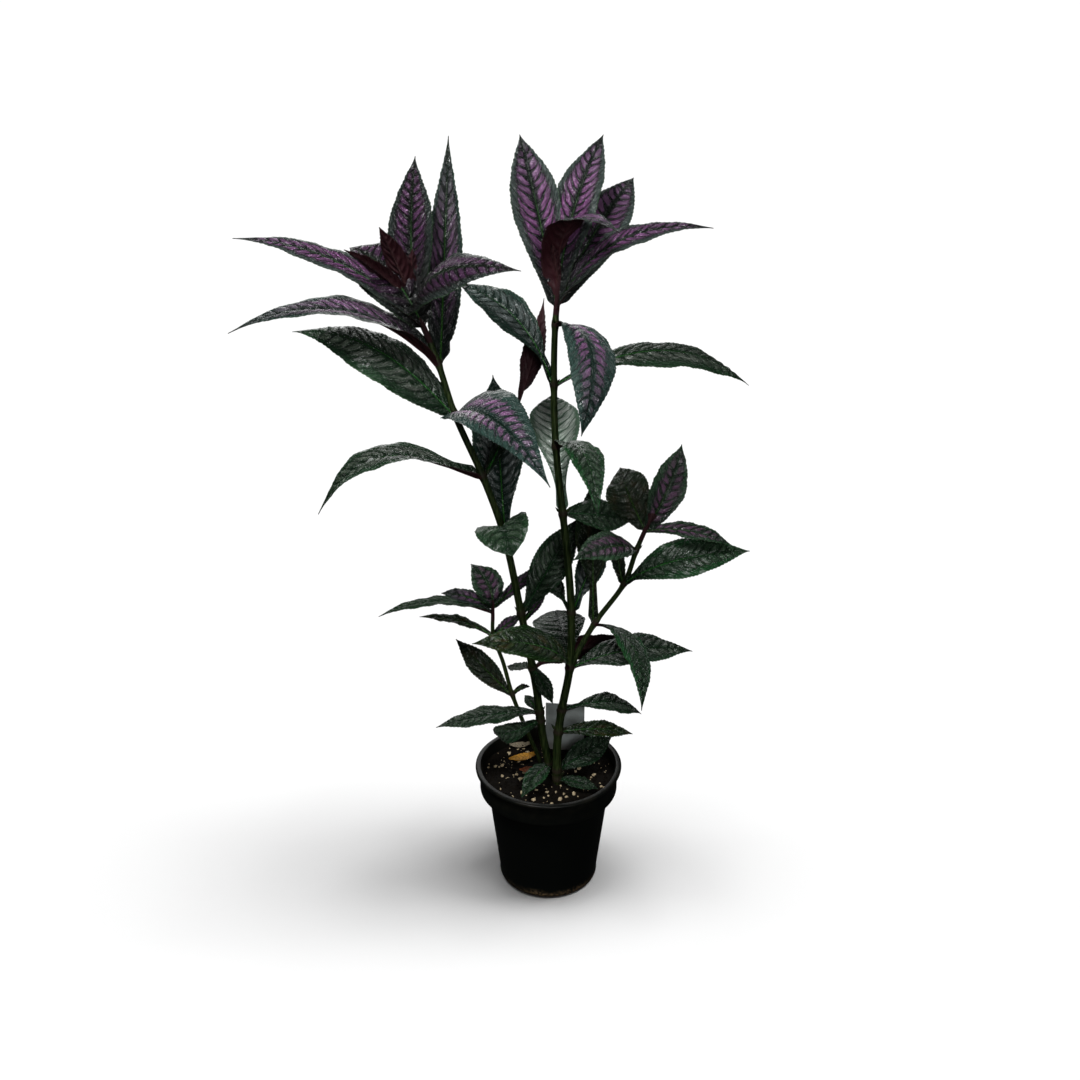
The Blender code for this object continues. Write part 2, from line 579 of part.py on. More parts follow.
def leaf_points(leaf, s, t, sunk=False, teeth=0):
    """Points on the upper face, for s from -1 to 1 across and t from 0 to 1 along.

    The midrib is the chord plus its bow. Across it the halves rise in a V, deeper
    at the foot, each half is arched, and the edge waves up and down along the leaf.
    The blade turns evenly about its midrib from its foot to its tip.
    """
    base, chord, across, up = leaf_frame(leaf, sunk)
    length = np.linalg.norm(chord)
    rise, slope = arch(leaf, t)
    rise = rise * np.clip(t / ARCH_START, 0, 1)
    rib = base + t[:, None] * chord + (leaf.bow * length * rise)[:, None] * up
    tangent = chord / length + (leaf.bow * slope)[:, None] * up
    tangent /= np.linalg.norm(tangent, axis=1)[:, None]
    level_across = np.broadcast_to(across, tangent.shape)
    level_normal = np.cross(level_across, tangent)
    turn = (math.radians(leaf.twist) * t)[:, None]
    across = level_across * np.cos(turn) + level_normal * np.sin(turn)
    normal = level_normal * np.cos(turn) - level_across * np.sin(turn)
    half, blade = leaf_outline(leaf, t)
    if teeth:
        half = half * (1 - TOOTH * blade * (np.round(t * teeth) % 2))
    side = np.abs(s)
    phase = np.where(s < 0, 0.0, HALF_PHASE) + leaf.joint
    fold = leaf.fold + leaf.channel * np.clip(t / CHANNEL_START, 0, 1) * (1 - t) ** 4
    fold = fold * np.clip((1 - t) / FLAT_TIP, 0, 1)
    lift = half * (fold * side - BLADE_ARCH * side**2)
    lift += leaf.wave * MM * blade * side**2 * np.sin(2 * math.pi * WAVES * t + phase)
    return rib + (half * s)[:, None] * across + lift[:, None] * normal


def leaf_grid(length):
    """Rows along a leaf and columns across it."""
    if length < SMALL_LEAF:
        return SMALL_GRID
    if length < LARGE_LEAF:
        return MIDDLE_GRID
    return LARGE_GRID


def leaf_object(name, leaf, collection, look=None, sunk=False):
    """A leaf blade with its stalk: an open surface given a thickness.

    The thickness is greatest in the stalk and fades out along the midrib.
    """
    rows, columns = leaf_grid(np.linalg.norm(leaf_frame(leaf, sunk)[1]))
    work = bmesh.new()
    bmesh.ops.create_grid(work, x_segments=columns, y_segments=rows, size=1.0)
    bmesh.ops.triangulate(work, faces=work.faces)
    mesh = bpy.data.meshes.new(name)
    work.to_mesh(mesh)
    work.free()
    grid = np.empty(len(mesh.vertices) * 3)
    mesh.vertices.foreach_get("co", grid)
    grid = grid.reshape(-1, 3)
    s, t = grid[:, 0], (grid[:, 1] + 1) / 2
    mesh.vertices.foreach_set("co", leaf_points(leaf, s, t, sunk, teeth=rows).ravel())
    mesh.shade_smooth()
    mesh.update()
    thing = new_object(name, mesh, collection, look)
    midrib = np.clip(1 - np.abs(s) / RIB_SHARE, 0, 1) * (1 - t) ** 2
    stalk = np.clip(1 - t / STALK_FADE, 0, 1)
    rib = thing.vertex_groups.new(name="rib")
    for index, strength in enumerate(np.maximum(midrib, stalk)):
        rib.add([index], strength, "REPLACE")
    solidify = thing.modifiers.new("thickness", "SOLIDIFY")
    solidify.thickness = STALK_THICKNESS
    solidify.offset = -1.0
    solidify.vertex_group = "rib"
    solidify.thickness_vertex_group = BLADE_THICKNESS / STALK_THICKNESS
    return thing


def make_leaves(collection):
    for leaf in LEAVES:
        leaf_object("leaf_" + leaf.name, leaf, collection, leaf.look)


def make_shoots(collection):
    for name, start in SHOOT_STARTS.items():
        stem = STEMS[name]
        top = stem.route[-1][2] * MM
        bud = solid_mesh(stem_tube("shoot_" + name, stem, start * MM, top, 0.0, collection, "purple"))
        young = [solid_mesh(leaf_object(f"{name}_{leaf.name}", leaf, collection, sunk=True))
                 for leaf in SHOOT_LEAVES if leaf.stem == name]
        fuse(bud, young)


def make_fallen_leaves(collection):
    """Dropped leaves, lying on the soil with their edges curled up."""
    for name, middle, turn, length, width, cup, look in FALLEN:
        work = bmesh.new()
        bmesh.ops.create_grid(work, x_segments=FALLEN_GRID[0], y_segments=FALLEN_GRID[1], size=1.0)
        for vertex in work.verts:
            along, over = vertex.co.x, vertex.co.y
            half = width * MM / 2 * (FALLEN_END + (1 - FALLEN_END) * math.cos(along * math.pi / 2))
            vertex.co = (along * length * MM / 2, over * half, cup * length * MM * (along**2 + over**2) / 2)
        bmesh.ops.triangulate(work, faces=work.faces)
        mesh = bpy.data.meshes.new(name)
        work.to_mesh(mesh)
        work.free()
        thing = new_object(name, mesh, collection, look)
        thing.location = (middle[0] * MM, middle[1] * MM, SOIL_TOP + GAP)
        thing.rotation_euler = (0.0, 0.0, math.radians(turn))
        solidify = thing.modifiers.new("thickness", "SOLIDIFY")
        solidify.thickness = BLADE_THICKNESS
        solidify.offset = 1.0


def main():
    clear_scene()
    plant = new_collection("persian_shield_plant")
    cutters = new_collection("cutters")
    make_pot(plant, cutters)
    make_soil(plant, cutters)
    make_label(plant)
    make_stems(plant)
    make_leaves(plant)
    make_shoots(plant)
    make_fallen_leaves(plant)


main()
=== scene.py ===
"""Finish of a persian shield plant in its nursery pot.

Metres, Z up. The plant is seen from -Y. The stems and leaves repeat the lines of
the solid model on fine grids, and add teeth, quilting, veins and patterned skins.
"""

import math
from collections import namedtuple
from functools import partial

import bmesh
import bpy
import numpy as np
from bpy.props import FloatProperty, FloatVectorProperty, IntProperty, PointerProperty
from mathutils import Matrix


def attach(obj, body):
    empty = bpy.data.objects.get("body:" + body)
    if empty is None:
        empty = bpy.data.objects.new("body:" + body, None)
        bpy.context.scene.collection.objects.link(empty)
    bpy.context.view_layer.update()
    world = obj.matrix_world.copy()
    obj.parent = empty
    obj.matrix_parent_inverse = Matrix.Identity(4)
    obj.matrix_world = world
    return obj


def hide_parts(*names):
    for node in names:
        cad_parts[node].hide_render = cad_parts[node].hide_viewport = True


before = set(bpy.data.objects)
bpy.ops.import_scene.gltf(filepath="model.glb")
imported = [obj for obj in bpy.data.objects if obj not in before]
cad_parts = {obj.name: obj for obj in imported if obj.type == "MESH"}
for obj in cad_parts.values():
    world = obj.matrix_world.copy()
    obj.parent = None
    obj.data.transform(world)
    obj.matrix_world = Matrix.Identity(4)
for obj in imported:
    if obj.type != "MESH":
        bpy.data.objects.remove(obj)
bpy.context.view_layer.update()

bl_info = {
    "name": "Persian Shield Plant",
    "version": (1, 0, 0),
    "blender": (4, 5, 0),
    "location": "View3D > Sidebar > Plant",
    "description": "Builds the patterned leaves, stems, soil and pot of a persian shield plant",
    "category": "Add Mesh",
}

MM = 0.001
TAU = 2 * math.pi

# Pot and soil, as in the solid model
POT_HEIGHT = 0.137
LIP_RADIUS = 0.0775
LIP_HEIGHT = 0.005
COLLAR_RADIUS = 0.0725
COLLAR_HEIGHT = 0.028
COLLAR_FOOT = POT_HEIGHT - COLLAR_HEIGHT
SHOULDER_HEIGHT = 0.003
BODY_TOP_RADIUS = 0.064
BASE_RADIUS = 0.0525
BASE_ROUNDING = 0.006
POT_WALL = 0.002
DRAIN_HOLES = 5
DRAIN_RADIUS = 0.004
DRAIN_RING = 0.034
SOIL_TOP = 0.124
STEM_BOTTOM = 0.094

# Leaves, as in the solid model: the stalk, the tip, how sharply the tip is drawn out, the
# arch of each half, and the long waves of the edge with the second half's lead
STALK_THICKNESS = 0.0022
STALK_HALF_WIDTH = 0.0016
TIP_HALF_WIDTH = 0.0004
DRIP = 0.05
ARCH = 0.16
WAVES = 2.5
HALF_PHASE = 1.1

# Fine forms of a leaf: fewest and most rows of points, rows to each tooth, small waves of
# the edge, sizes of the dents, half widths of the midrib's groove and ridge, and the side
# veins' spacing, fewest and most, slant and curve
LEAF_ROWS = (24, 126)
ROWS_PER_TOOTH = 3
RUFFLES = 7
DENTS = (0.0042, 0.0026)
GROOVE_WIDTH = 0.0011
RIDGE_WIDTH = 0.0014
VEIN_SPACING = 0.0088
VEIN_COUNTS = (6, 16)
VEIN_SLANT = 0.04
VEIN_CURVE = 0.19

# Dropped leaves: thickness, height above the soil, and height and size of their creases
DRY_THICKNESS = 0.0004
DRY_LIFT = 0.0012
CREASE_HEIGHT = 0.0007
CREASE_SIZE = 0.003

# Stems: how much the corners and ribs stand out, the bevel of the ends, half lengths of the
# swelling and the scar at a joint, height of the scar above it, and the buds' lengths and
# their width as a share of it
CORNERS = 0.05
RIBS = 0.012
STEM_BEVEL = 0.0004
SWELLING = 0.0042
SCAR = 0.0007
SCAR_HEIGHT = 0.0012
BUD_LENGTHS = (0.004, 0.009)
BUD_WIDTH = 0.42

# Soil: how far its edge lies below its top, its lumps' sizes and shares, the mounds round
# the stems, the dip at the wall, and the loose pieces: how far out they lie, their least
# and greatest sizes, and how far they stand above the soil as a share of their size
EDGE_DROP = 0.003
SOIL_LUMPS = ((0.012, 0.5), (0.005, 0.35), (0.0022, 0.25))
MOUND_HEIGHT = 0.002
MOUND_WIDTH = 0.008
DIP_DEPTH = 0.0015
DIP_RING = (0.055, 0.070)
SCATTER_RADIUS = 0.0675
CRUMB_SIZES = (0.0010, 0.0042)
GRAIN_SIZES = (0.0010, 0.0062)
LUMP_LIFT = 0.22

# Degrees past which an edge stays sharp, and the size of the lattice of random heights
SHARP_ANGLE = 55
NOISE_LATTICE = 64

Stem = namedtuple("Stem", "route foot_radius top_radius joints")
Leaf = namedtuple("Leaf", "name stem joint tip width face bow fold wave look skew twist neck wing foot point "
                  "channel", defaults=(1.0, 0, 0.06, 4, 1.1, 1.1, 0.5))
Young = partial(Leaf, neck=0.0, wing=7, foot=1.4, point=0.95)
Look = namedtuple("Look", "panel tip blade margin midrib reach foot amount metal vein ragged bare patch coat")

# Each route is the middle of a stem in millimetres, from inside the soil to its growing tip
STEMS = {
    "left": Stem(
        [(2, 2, 95), (2, 2, 124), (-6, 0, 170), (-13, 0, 230), (-28, -2, 317), (-45, -4, 407),
         (-64, -5, 466), (-89, -5, 529), (-103, -3, 577), (-116, 0, 612), (-128, 0, 640)],
        4.2, 2.6, (135, 190, 200, 252, 317, 407, 466, 529, 577)),
    "right": Stem(
        [(9, -18, 95), (9, -18, 124), (9, -18, 175), (13, -17, 211), (21, -15, 261), (22, -12, 323),
         (18, -10, 381), (13, -8, 428), (6, -5, 496), (4, 0, 556), (5, 0, 614), (9, 0, 660)],
        4.3, 2.6, (130, 140, 187, 213, 262, 323, 428, 496, 556, 614)),
    "branch": Stem(
        [(20, -15, 255), (30, -13, 280), (46, -10, 310), (74, -10, 354), (85, -10, 390), (96, -10, 420)],
        2.9, 2.2, (310, 354, 390)),
    "side": Stem(
        [(-8, 15, 95), (-8, 15, 124), (-21, 15, 162), (-38, 15, 212), (-47, 15, 250), (-57, 15, 284),
         (-57, 15, 305), (-57, 15, 324)],
        2.4, 1.8, (212, 282)),
}

# Stems that rise from the soil
ROOTED = ("left", "right", "side")

# Height at which each growing tip begins, in millimetres
SHOOT_STARTS = {"left": 598, "right": 624, "branch": 402, "side": 300}

# Leaves by stem and joint height in millimetres: tip point, width, direction of the
# upper face, bow towards that face, depth of the fold along the midrib, edge wave, and
# look. Some have the bow's top moved along, a turn in degrees from foot to tip, a longer
# neck with wider wings, other powers for the swell of the foot and the point, or another
# depth for the channel, which is the deeper fold at the foot
LEAVES = [
    Leaf("left_577_upright", "left", 577, (-93, 75, 770), 35, (0.1, -1, 0.25), 0.03, 0.20, 1.5, "dusky",
         neck=0.10, wing=12, foot=0.6, point=1.2),
    Leaf("left_577_arching", "left", 577, (-284, -50, 620), 46, (0, -0.15, 1), 0.20, 0.28, 1.5, "dusky",
         wing=8, foot=0.9, point=1.2, channel=1.0),
    Leaf("left_529_broad", "left", 529, (-240, 20, 601), 54, (-0.1, -0.6, 1), 0.23, -0.20, 1.5, "green",
         skew=1.1, neck=0.02, wing=7, foot=0.9, point=1.2),
    Leaf("left_529_front", "left", 529, (0, -110, 498), 62, (0.3, -0.8, 0.8), 0.24, 0.40, 1.0, "pink",
         neck=0.0, wing=7, foot=0.6, point=1.2, channel=0),
    Leaf("left_466_arching", "left", 466, (-216, -50, 446), 40, (-0.1, -0.18, 1), 0.29, 0.28, 2.0, "green",
         skew=1.25, neck=0.16, wing=8, channel=1.0),
    Leaf("left_466_back", "left", 466, (-5, 60, 622), 28, (0.6, -0.8, 0.2), 0.08, 0.20, 1.0, "green",
         twist=280, wing=3, foot=1.0, point=1.0),
    Leaf("left_407_upright", "left", 407, (-55, 60, 546), 54, (0.1, -1, 0.3), 0.06, 0.15, 1.5, "ribbed",
         skew=2.0, wing=6, foot=1.7, point=1.3),
    Leaf("left_407_front", "left", 407, (-34, -86, 420), 58, (-0.2, -0.6, 1), 0.26, 0.40, 1.0, "slate",
         skew=1.6, wing=4, foot=1.4, point=0.4, channel=0.2),
    Leaf("left_317_right", "left", 317, (29, 40, 402), 40, (-0.2, -1, 0.3), 0.05, 0.15, 1.5, "slate",
         neck=0.10, wing=5),
    Leaf("left_317_back", "left", 308, (-3, 30, 323), 9, (0, -1, 0.4), 0.05, 0.20, 0.5, "dusky"),
    Leaf("left_252_right", "left", 252, (96, 40, 256), 44, (0, 0.8, 0.3), 0.10, 0.15, 1.5, "slate"),
    Leaf("left_252_back", "left", 252, (-44, 50, 226), 16, (0, -0.6, 1), 0.0, 0.20, 0.8, "slate"),
    Leaf("left_252_low", "left", 252, (4, -25, 225), 17, (0.3, -1, 0.4), 0.20, 0.10, 0.5, "slate"),
    Leaf("left_200_long", "left", 200, (-115, -30, 200), 32, (0, -0.1, 1), 0.06, 0.10, 1.5, "slate"),
    Leaf("left_200_front", "left", 190, (-55, -62, 217), 23, (-0.2, -0.8, 0.7), -0.18, 0.10, 1.0, "slate"),
    Leaf("left_200_small", "left", 200, (-25, 25, 205), 13, (0, -0.6, 1), 0.10, 0.10, 0.5, "green"),
    Leaf("left_135_low", "left", 135, (-28, -58, 134), 22, (0, -0.5, 1), 0.14, 0.20, 0.8, "fresh"),

    Leaf("right_614_hanging", "right", 614, (27, -100, 542), 52, (0.5, -0.6, 0.7), 0.34, 0.10, 1.0, "pink",
         wing=5, foot=0.9, point=0.9),
    Leaf("right_556_right", "right", 556, (192, 40, 542), 40, (0, -0.4, 1), 0.22, -0.10, 2.0, "green",
         neck=0.12, wing=3),
    Leaf("right_556_left", "right", 556, (-87, 40, 642), 46, (0.4, -0.6, 0.9), 0.21, 0.15, 1.5, "ribbed",
         neck=0.20, wing=5),
    Leaf("right_496_front", "right", 496, (42, -110, 470), 38, (0.4, -0.7, 0.7), 0.26, 0.15, 1.0, "fresh",
         neck=0.03, foot=0.8),
    # This leaf takes the silvery look that is made paler as painted light
    Leaf("right_428_upright", "right", 428, (3, 85, 517), 56, (0, -1, 0.5), 0.12, 0.05, 1.0, "silver",
         neck=0.15, wing=6, foot=1.7, point=0.6),
    Leaf("right_428_right", "right", 428, (82, 8, 414), 38, (0, -0.7, 1), 0.06, 0.15, 1.5, "slate", wing=6),
    Leaf("right_323_left", "right", 323, (-2, 40, 341), 17, (0.2, -1, 0.5), 0.05, 0.20, 1.0, "slate",
         neck=0.25, wing=2),
    Leaf("right_323_right", "right", 323, (55, 50, 375), 30, (-0.2, -1, 0.3), 0.06, 0.20, 1.0, "ribbed",
         neck=0.20, wing=5),
    Leaf("right_262_left", "right", 262, (-75, -55, 311), 42, (0, -0.5, 1), 0.20, 0.20, 1.5, "mottled",
         skew=0.85, wing=5),
    Leaf("right_262_upright", "right", 262, (6, 90, 271), 60, (0, -0.5, 1), 0.18, -0.05, 1.0, "slate",
         foot=1.2, point=0.6),
    Leaf("right_262_right", "right", 262, (146, 0, 272), 44, (0, -0.3, 1), 0.12, 0.15, 2.0, "green"),
    Leaf("right_213_right", "right", 213, (98, 20, 185), 30, (0, -0.3, 1), 0.16, 0.10, 1.0, "slate",
         neck=0.15, wing=3),
    Leaf("right_187_right", "right", 187, (88, 0, 173), 21, (0, -0.5, 1), 0.11, 0.20, 1.0, "mottled"),
    Leaf("right_148_right", "right", 140, (68, 25, 154), 30, (-0.1, -0.8, 0.8), 0.03, 0.20, 1.0, "slate"),
    Leaf("right_148_low", "right", 130, (51, -40, 132), 16, (0, -0.4, 1), 0.06, 0.20, 0.8, "slate", wing=3),

    Leaf("branch_310_upright", "branch", 310, (42, 25, 448), 36, (0, -1, 0.3), 0.05, 0.20, 1.5, "brown",
         neck=0.30, wing=5),
    Leaf("branch_310_front", "branch", 310, (88, -100, 263), 38, (0.8, -0.6, 0.7), 0.25, 0.10, 1.0, "fresh",
         foot=0.9),
    Leaf("branch_354_right", "branch", 354, (194, -20, 394), 44, (0, -0.8, 1), 0.19, 0.20, 1.5, "fresh",
         skew=0.85, neck=0.10),
    Leaf("branch_354_left", "branch", 354, (62, 0, 404), 14, (0, -1, 0.3), 0.05, 0.20, 0.8, "brown"),
    Leaf("branch_390_left", "branch", 390, (22, -70, 408), 38, (0, -0.6, 1), 0.14, 0.20, 1.0, "teal"),

    Leaf("side_282_left", "side", 282, (-132, 20, 301), 17, (0, -0.1, 1), 0.10, 0.20, 1.0, "mottled", wing=3),
    Leaf("side_282_right", "side", 282, (-28, 30, 298), 14, (0, -0.6, 1), 0.08, 0.20, 0.5, "dusky"),
    Leaf("side_212_left", "side", 212, (-97, 40, 264), 27, (-0.3, -1, 0.6), 0.02, 0.20, 1.5, "brown", wing=3),
    Leaf("side_212_right", "side", 212, (-20, 40, 207), 8, (0, -0.5, 1), 0.15, 0.20, 0.5, "brown", wing=2),
]

# Young leaves of each growing tip, with the same values
SHOOT_LEAVES = [
    Young("long", "left", 610, (-281, -10, 695), 36, (0, -0.35, 1), 0.14, 0.15, 1.5, "purple",
          foot=1.0, point=1.2),
    # The back, upright and front leaves of this tip take the darker copy of the purple look, as painted shade
    Young("back", "left", 612, (-185, 40, 675), 62, (0.4, -1, 0.6), 0.30, 0.15, 1.5, "plum", foot=1.0),
    Young("upright", "left", 628, (-122, 50, 756), 45, (-0.3, -1, 0.35), 0.08, 0.15, 1.5, "plum",
          foot=1.2, point=1.2),
    Young("front", "left", 629, (-25, -80, 683), 56, (0, -0.75, 1), 0.20, -0.15, 1.5, "plum",
          wing=9, foot=0.7, point=1.2),
    Young("young_left", "left", 632, (-149, -25, 708), 23, (0.2, 1, 0), 0.05, 0.40, 0.5, "purple", foot=0.9),
    Young("young_front", "left", 636, (-178, -45, 693), 17, (0.2, 1, 0.6), 0.05, 0.40, 0.5, "purple",
          foot=0.9),
    Young("young_back", "left", 638, (-123, 0, 683), 12, (0, 1, 0.2), 0.05, 0.40, 0.5, "purple"),

    Young("left", "right", 630, (-27, 30, 778), 48, (0.2, -1, 0.3), 0.05, 0.15, 1.5, "purple", foot=1.5),
    Young("upright", "right", 638, (48, 50, 775), 46, (-0.5, -1, 0.3), 0.12, 0.15, 1.5, "purple"),
    Young("back", "right", 632, (77, 60, 735), 54, (-0.3, -1, 0.6), 0.10, 0.10, 1.5, "purple",
          foot=1.1, point=0.8),
    Young("long", "right", 628, (144, -10, 704), 32, (0, -0.4, 1), 0.22, 0.15, 1.5, "purple",
          foot=1.0, point=1.1),
    Young("front", "right", 640, (58, -74, 714), 42, (-0.6, 0.8, 0.5), 0.35, 0.25, 1.0, "purple",
          foot=1.0, point=1.1),
    Young("young", "right", 650, (2, -12, 690), 9, (0.2, 1, 0), 0.05, 0.40, 0.5, "purple"),

    Young("upright", "branch", 414, (128, 20, 489), 42, (0.5, -1, 0.2), 0.10, 0.15, 1.0, "teal",
          foot=1.2, point=1.1, wing=5),
    Young("back", "branch", 412, (70, 40, 457), 48, (-0.3, -1, 0.4), 0.15, 0.15, 1.0, "brown", wing=5),
    Young("right", "branch", 410, (173, -30, 406), 23, (0, -0.4, 1), 0.12, 0.25, 1.0, "teal", wing=4),
    Young("young", "branch", 417, (100, -20, 434), 11, (0, 1, 0.3), 0.05, 0.40, 0.5, "purple", wing=2),

    Young("upright", "side", 316, (-79, 30, 356), 36, (0.8, -1, 0.2), 0.28, 0.15, 1.0, "teal",
          wing=3, foot=1.0),
    Young("left", "side", 314, (-109, 20, 328), 19, (0, -0.5, 1), 0.12, 0.20, 1.0, "dusky", wing=3),
    Young("long", "side", 308, (-170, -10, 317), 22, (0, 0, 1), 0.13, 0.20, 1.0, "slate", wing=3, foot=1.0),
    Young("right", "side", 314, (-8, 60, 339), 14, (0, -0.8, 0.8), 0.06, 0.20, 0.8, "dusky", wing=3),
]

# Dropped leaves, in millimetres: middle, turn about Z in degrees, length, width, cup, colour
FALLEN = [
    ("yellow", (-27, 28), 20, 32, 12, 0.10, (0.72, 0.34, 0.03)),
    ("orange", (-20, 5), 10, 22, 9, 0.08, (0.40, 0.09, 0.010)),
    ("pale", (-30, 50), 10, 24, 9, 0.20, (0.30, 0.25, 0.17)),
]

# Upper skins. Colours of the panels, of the panels near the tip, of the blade round the
# veins, of the margin and of the midrib. Then, as shares: how far out the panels reach,
# how far from the foot they are grown, which also leaves the foot dark as painted shade,
# how full and how metallic they are, the width of the veins, how ragged and how often
# bare the panels are, how much of the blade has gone brown, and the weight of the glossy
# coat
LOOKS = {
    "purple": Look((0.33, 0.115, 0.32), (0.32, 0.17, 0.33), (0.012, 0.015, 0.014), (0.050, 0.068, 0.062),
                   (0.030, 0.100, 0.020), 0.72, 0.50, 1.00, 0.55, 0.05, 0.50, 0.35, 0.0, 0.03),
    # A darker copy of the purple look: painted shade for the leaves of the left growing tip
    "plum": Look((0.13, 0.042, 0.13), (0.17, 0.08, 0.17), (0.006, 0.007, 0.006), (0.020, 0.028, 0.025),
                 (0.024, 0.080, 0.018), 0.72, 0.60, 1.00, 0.55, 0.06, 0.50, 0.45, 0.0, 0.00),
    "pink": Look((0.34, 0.14, 0.33), (0.20, 0.17, 0.21), (0.012, 0.030, 0.024), (0.028, 0.060, 0.050),
                 (0.012, 0.035, 0.020), 0.62, 0.18, 1.00, 0.45, 0.05, 0.80, 0.55, 0.0, 0.02),
    "dusky": Look((0.22, 0.10, 0.22), (0.12, 0.15, 0.14), (0.010, 0.016, 0.013), (0.024, 0.046, 0.038),
                  (0.030, 0.120, 0.016), 0.76, 0.40, 0.90, 0.35, 0.05, 0.50, 0.25, 0.0, 0.02),
    "teal": Look((0.20, 0.085, 0.18), (0.13, 0.10, 0.12), (0.009, 0.024, 0.012), (0.022, 0.055, 0.026),
                 (0.030, 0.075, 0.018), 0.66, 0.20, 0.90, 0.35, 0.05, 0.60, 0.25, 0.0, 0.03),
    # Silvery skin made far paler than the leaf's own colour, as painted light on a leaf the lamps leave dim
    "silver": Look((0.80, 0.92, 0.81), (0.93, 0.97, 0.92), (0.130, 0.230, 0.150), (0.170, 0.300, 0.200),
                   (0.040, 0.110, 0.060), 0.88, 0.35, 1.00, 0.05, 0.03, 0.40, 0.15, 0.0, 0.30),
    "ribbed": Look((0.24, 0.27, 0.27), (0.20, 0.26, 0.24), (0.007, 0.022, 0.015), (0.022, 0.052, 0.038),
                   (0.020, 0.130, 0.012), 0.72, 0.40, 0.80, 0.35, 0.05, 0.60, 0.60, 0.0, 0.12),
    "slate": Look((0.14, 0.19, 0.135), (0.13, 0.19, 0.12), (0.007, 0.024, 0.009), (0.013, 0.042, 0.016),
                  (0.014, 0.060, 0.018), 0.76, 0.25, 0.40, 0.50, 0.05, 0.60, 0.65, 0.0, 0.05),
    "green": Look((0.17, 0.18, 0.16), (0.17, 0.22, 0.16), (0.007, 0.022, 0.009), (0.014, 0.044, 0.018),
                  (0.016, 0.110, 0.012), 0.70, 0.30, 0.70, 0.35, 0.05, 0.70, 0.70, 0.0, 0.14),
    "fresh": Look((0.13, 0.15, 0.13), (0.12, 0.21, 0.12), (0.006, 0.024, 0.008), (0.010, 0.056, 0.016),
                  (0.022, 0.115, 0.020), 0.66, 0.20, 0.50, 0.35, 0.05, 0.70, 0.75, 0.0, 0.08),
    "mottled": Look((0.07, 0.12, 0.05), (0.10, 0.18, 0.06), (0.004, 0.016, 0.003), (0.009, 0.038, 0.006),
                    (0.026, 0.110, 0.016), 0.70, 0.20, 0.38, 0.30, 0.05, 0.60, 0.70, 0.25, 0.10),
    "brown": Look((0.026, 0.034, 0.022), (0.03, 0.045, 0.028), (0.006, 0.012, 0.005), (0.010, 0.022, 0.009),
                  (0.024, 0.070, 0.010), 0.70, 0.25, 0.50, 0.20, 0.04, 0.60, 0.60, 0.10, 0.00),
}

# Lights that shine on the floor alone: where each stands, and its share of the floor light.
# The angle is in degrees
FLOOR_SUNS = ((-0.60, -0.1, 1.1), (0.25, -0.1, 1.6), (1.2, 0.0, 1.3))
FLOOR_SUN_HEIGHT = 3.0
FLOOR_SUN_ANGLE = 24

# Softboxes that light all but the floor: the setting of the power, place, target and size
SOFTBOXES = {
    "key_softbox": ("key_light", (-0.45, -0.65, 1.75), (0.0, 0.0, 0.45), 0.4),
    "fill_softbox": ("fill_light", (0.35, -1.6, 1.15), (0.0, 0.0, 0.4), 0.5),
    "back_softbox": ("back_light", (-0.3, 1.7, 1.0), (0.0, 0.0, 0.4), 0.9),
}

# Half width of the floor, and width of the camera's sensor in millimetres
FLOOR_HALF_WIDTH = 30.0
SENSOR_WIDTH = 36.0


# Surfaces

class Surface:
    """Points, faces of four and three corners, each face's material number, and marks on the points."""

    def __init__(self, points, quads, triangles=None, slots=None, marks=None):
        self.points = np.asarray(points, float).reshape(-1, 3)
        self.quads = np.asarray(quads, int).reshape(-1, 4)
        self.triangles = np.asarray([] if triangles is None else triangles, int).reshape(-1, 3)
        count = len(self.quads) + len(self.triangles)
        self.slots = np.zeros(count, int) if slots is None else slots
        self.marks = marks or {}


def join(surfaces):
    """One surface made of several, each with its points' numbers moved past those before it."""
    starts = np.cumsum([0] + [len(surface.points) for surface in surfaces[:-1]])
    quad_slots = [surface.slots[:len(surface.quads)] for surface in surfaces]
    triangle_slots = [surface.slots[len(surface.quads):] for surface in surfaces]
    return Surface(
        np.concatenate([surface.points for surface in surfaces]),
        np.concatenate([surface.quads + start for surface, start in zip(surfaces, starts)]),
        np.concatenate([surface.triangles + start for surface, start in zip(surfaces, starts)]),
        np.concatenate(quad_slots + triangle_slots),
        {key: np.concatenate([surface.marks[key] for surface in surfaces]) for key in surfaces[0].marks})


def grid_quads(index):
    """Faces between neighbours of a grid of point numbers."""
    corners = (index[:-1, :-1], index[:-1, 1:], index[1:, 1:], index[1:, :-1])
    return np.stack(corners, axis=-1).reshape(-1, 4)


def shell(top, bottom, marks):
    """A closed leaf: an upper grid, a lower grid turned over, and a rim of faces along their borders."""
    rows, columns = top.shape[:2]
    index = np.arange(rows * columns).reshape(rows, columns)
    upper = grid_quads(index)
    lower = upper[:, ::-1] + index.size
    border = np.concatenate([index[0, :-1], index[:-1, -1], index[-1, :0:-1], index[:0:-1, 0]])
    after = np.roll(border, -1)
    rim = np.stack([border + index.size, after + index.size, after, border], axis=-1)
    slots = np.concatenate([np.zeros(len(upper), int), np.ones(len(lower) + len(rim), int)])
    points = np.concatenate([top.reshape(-1, 3), bottom.reshape(-1, 3)])
    doubled = {key: np.concatenate([value.reshape(-1, 3)] * 2) for key, value in marks.items()}
    return Surface(points, np.concatenate([upper, lower, rim]), slots=slots, marks=doubled)


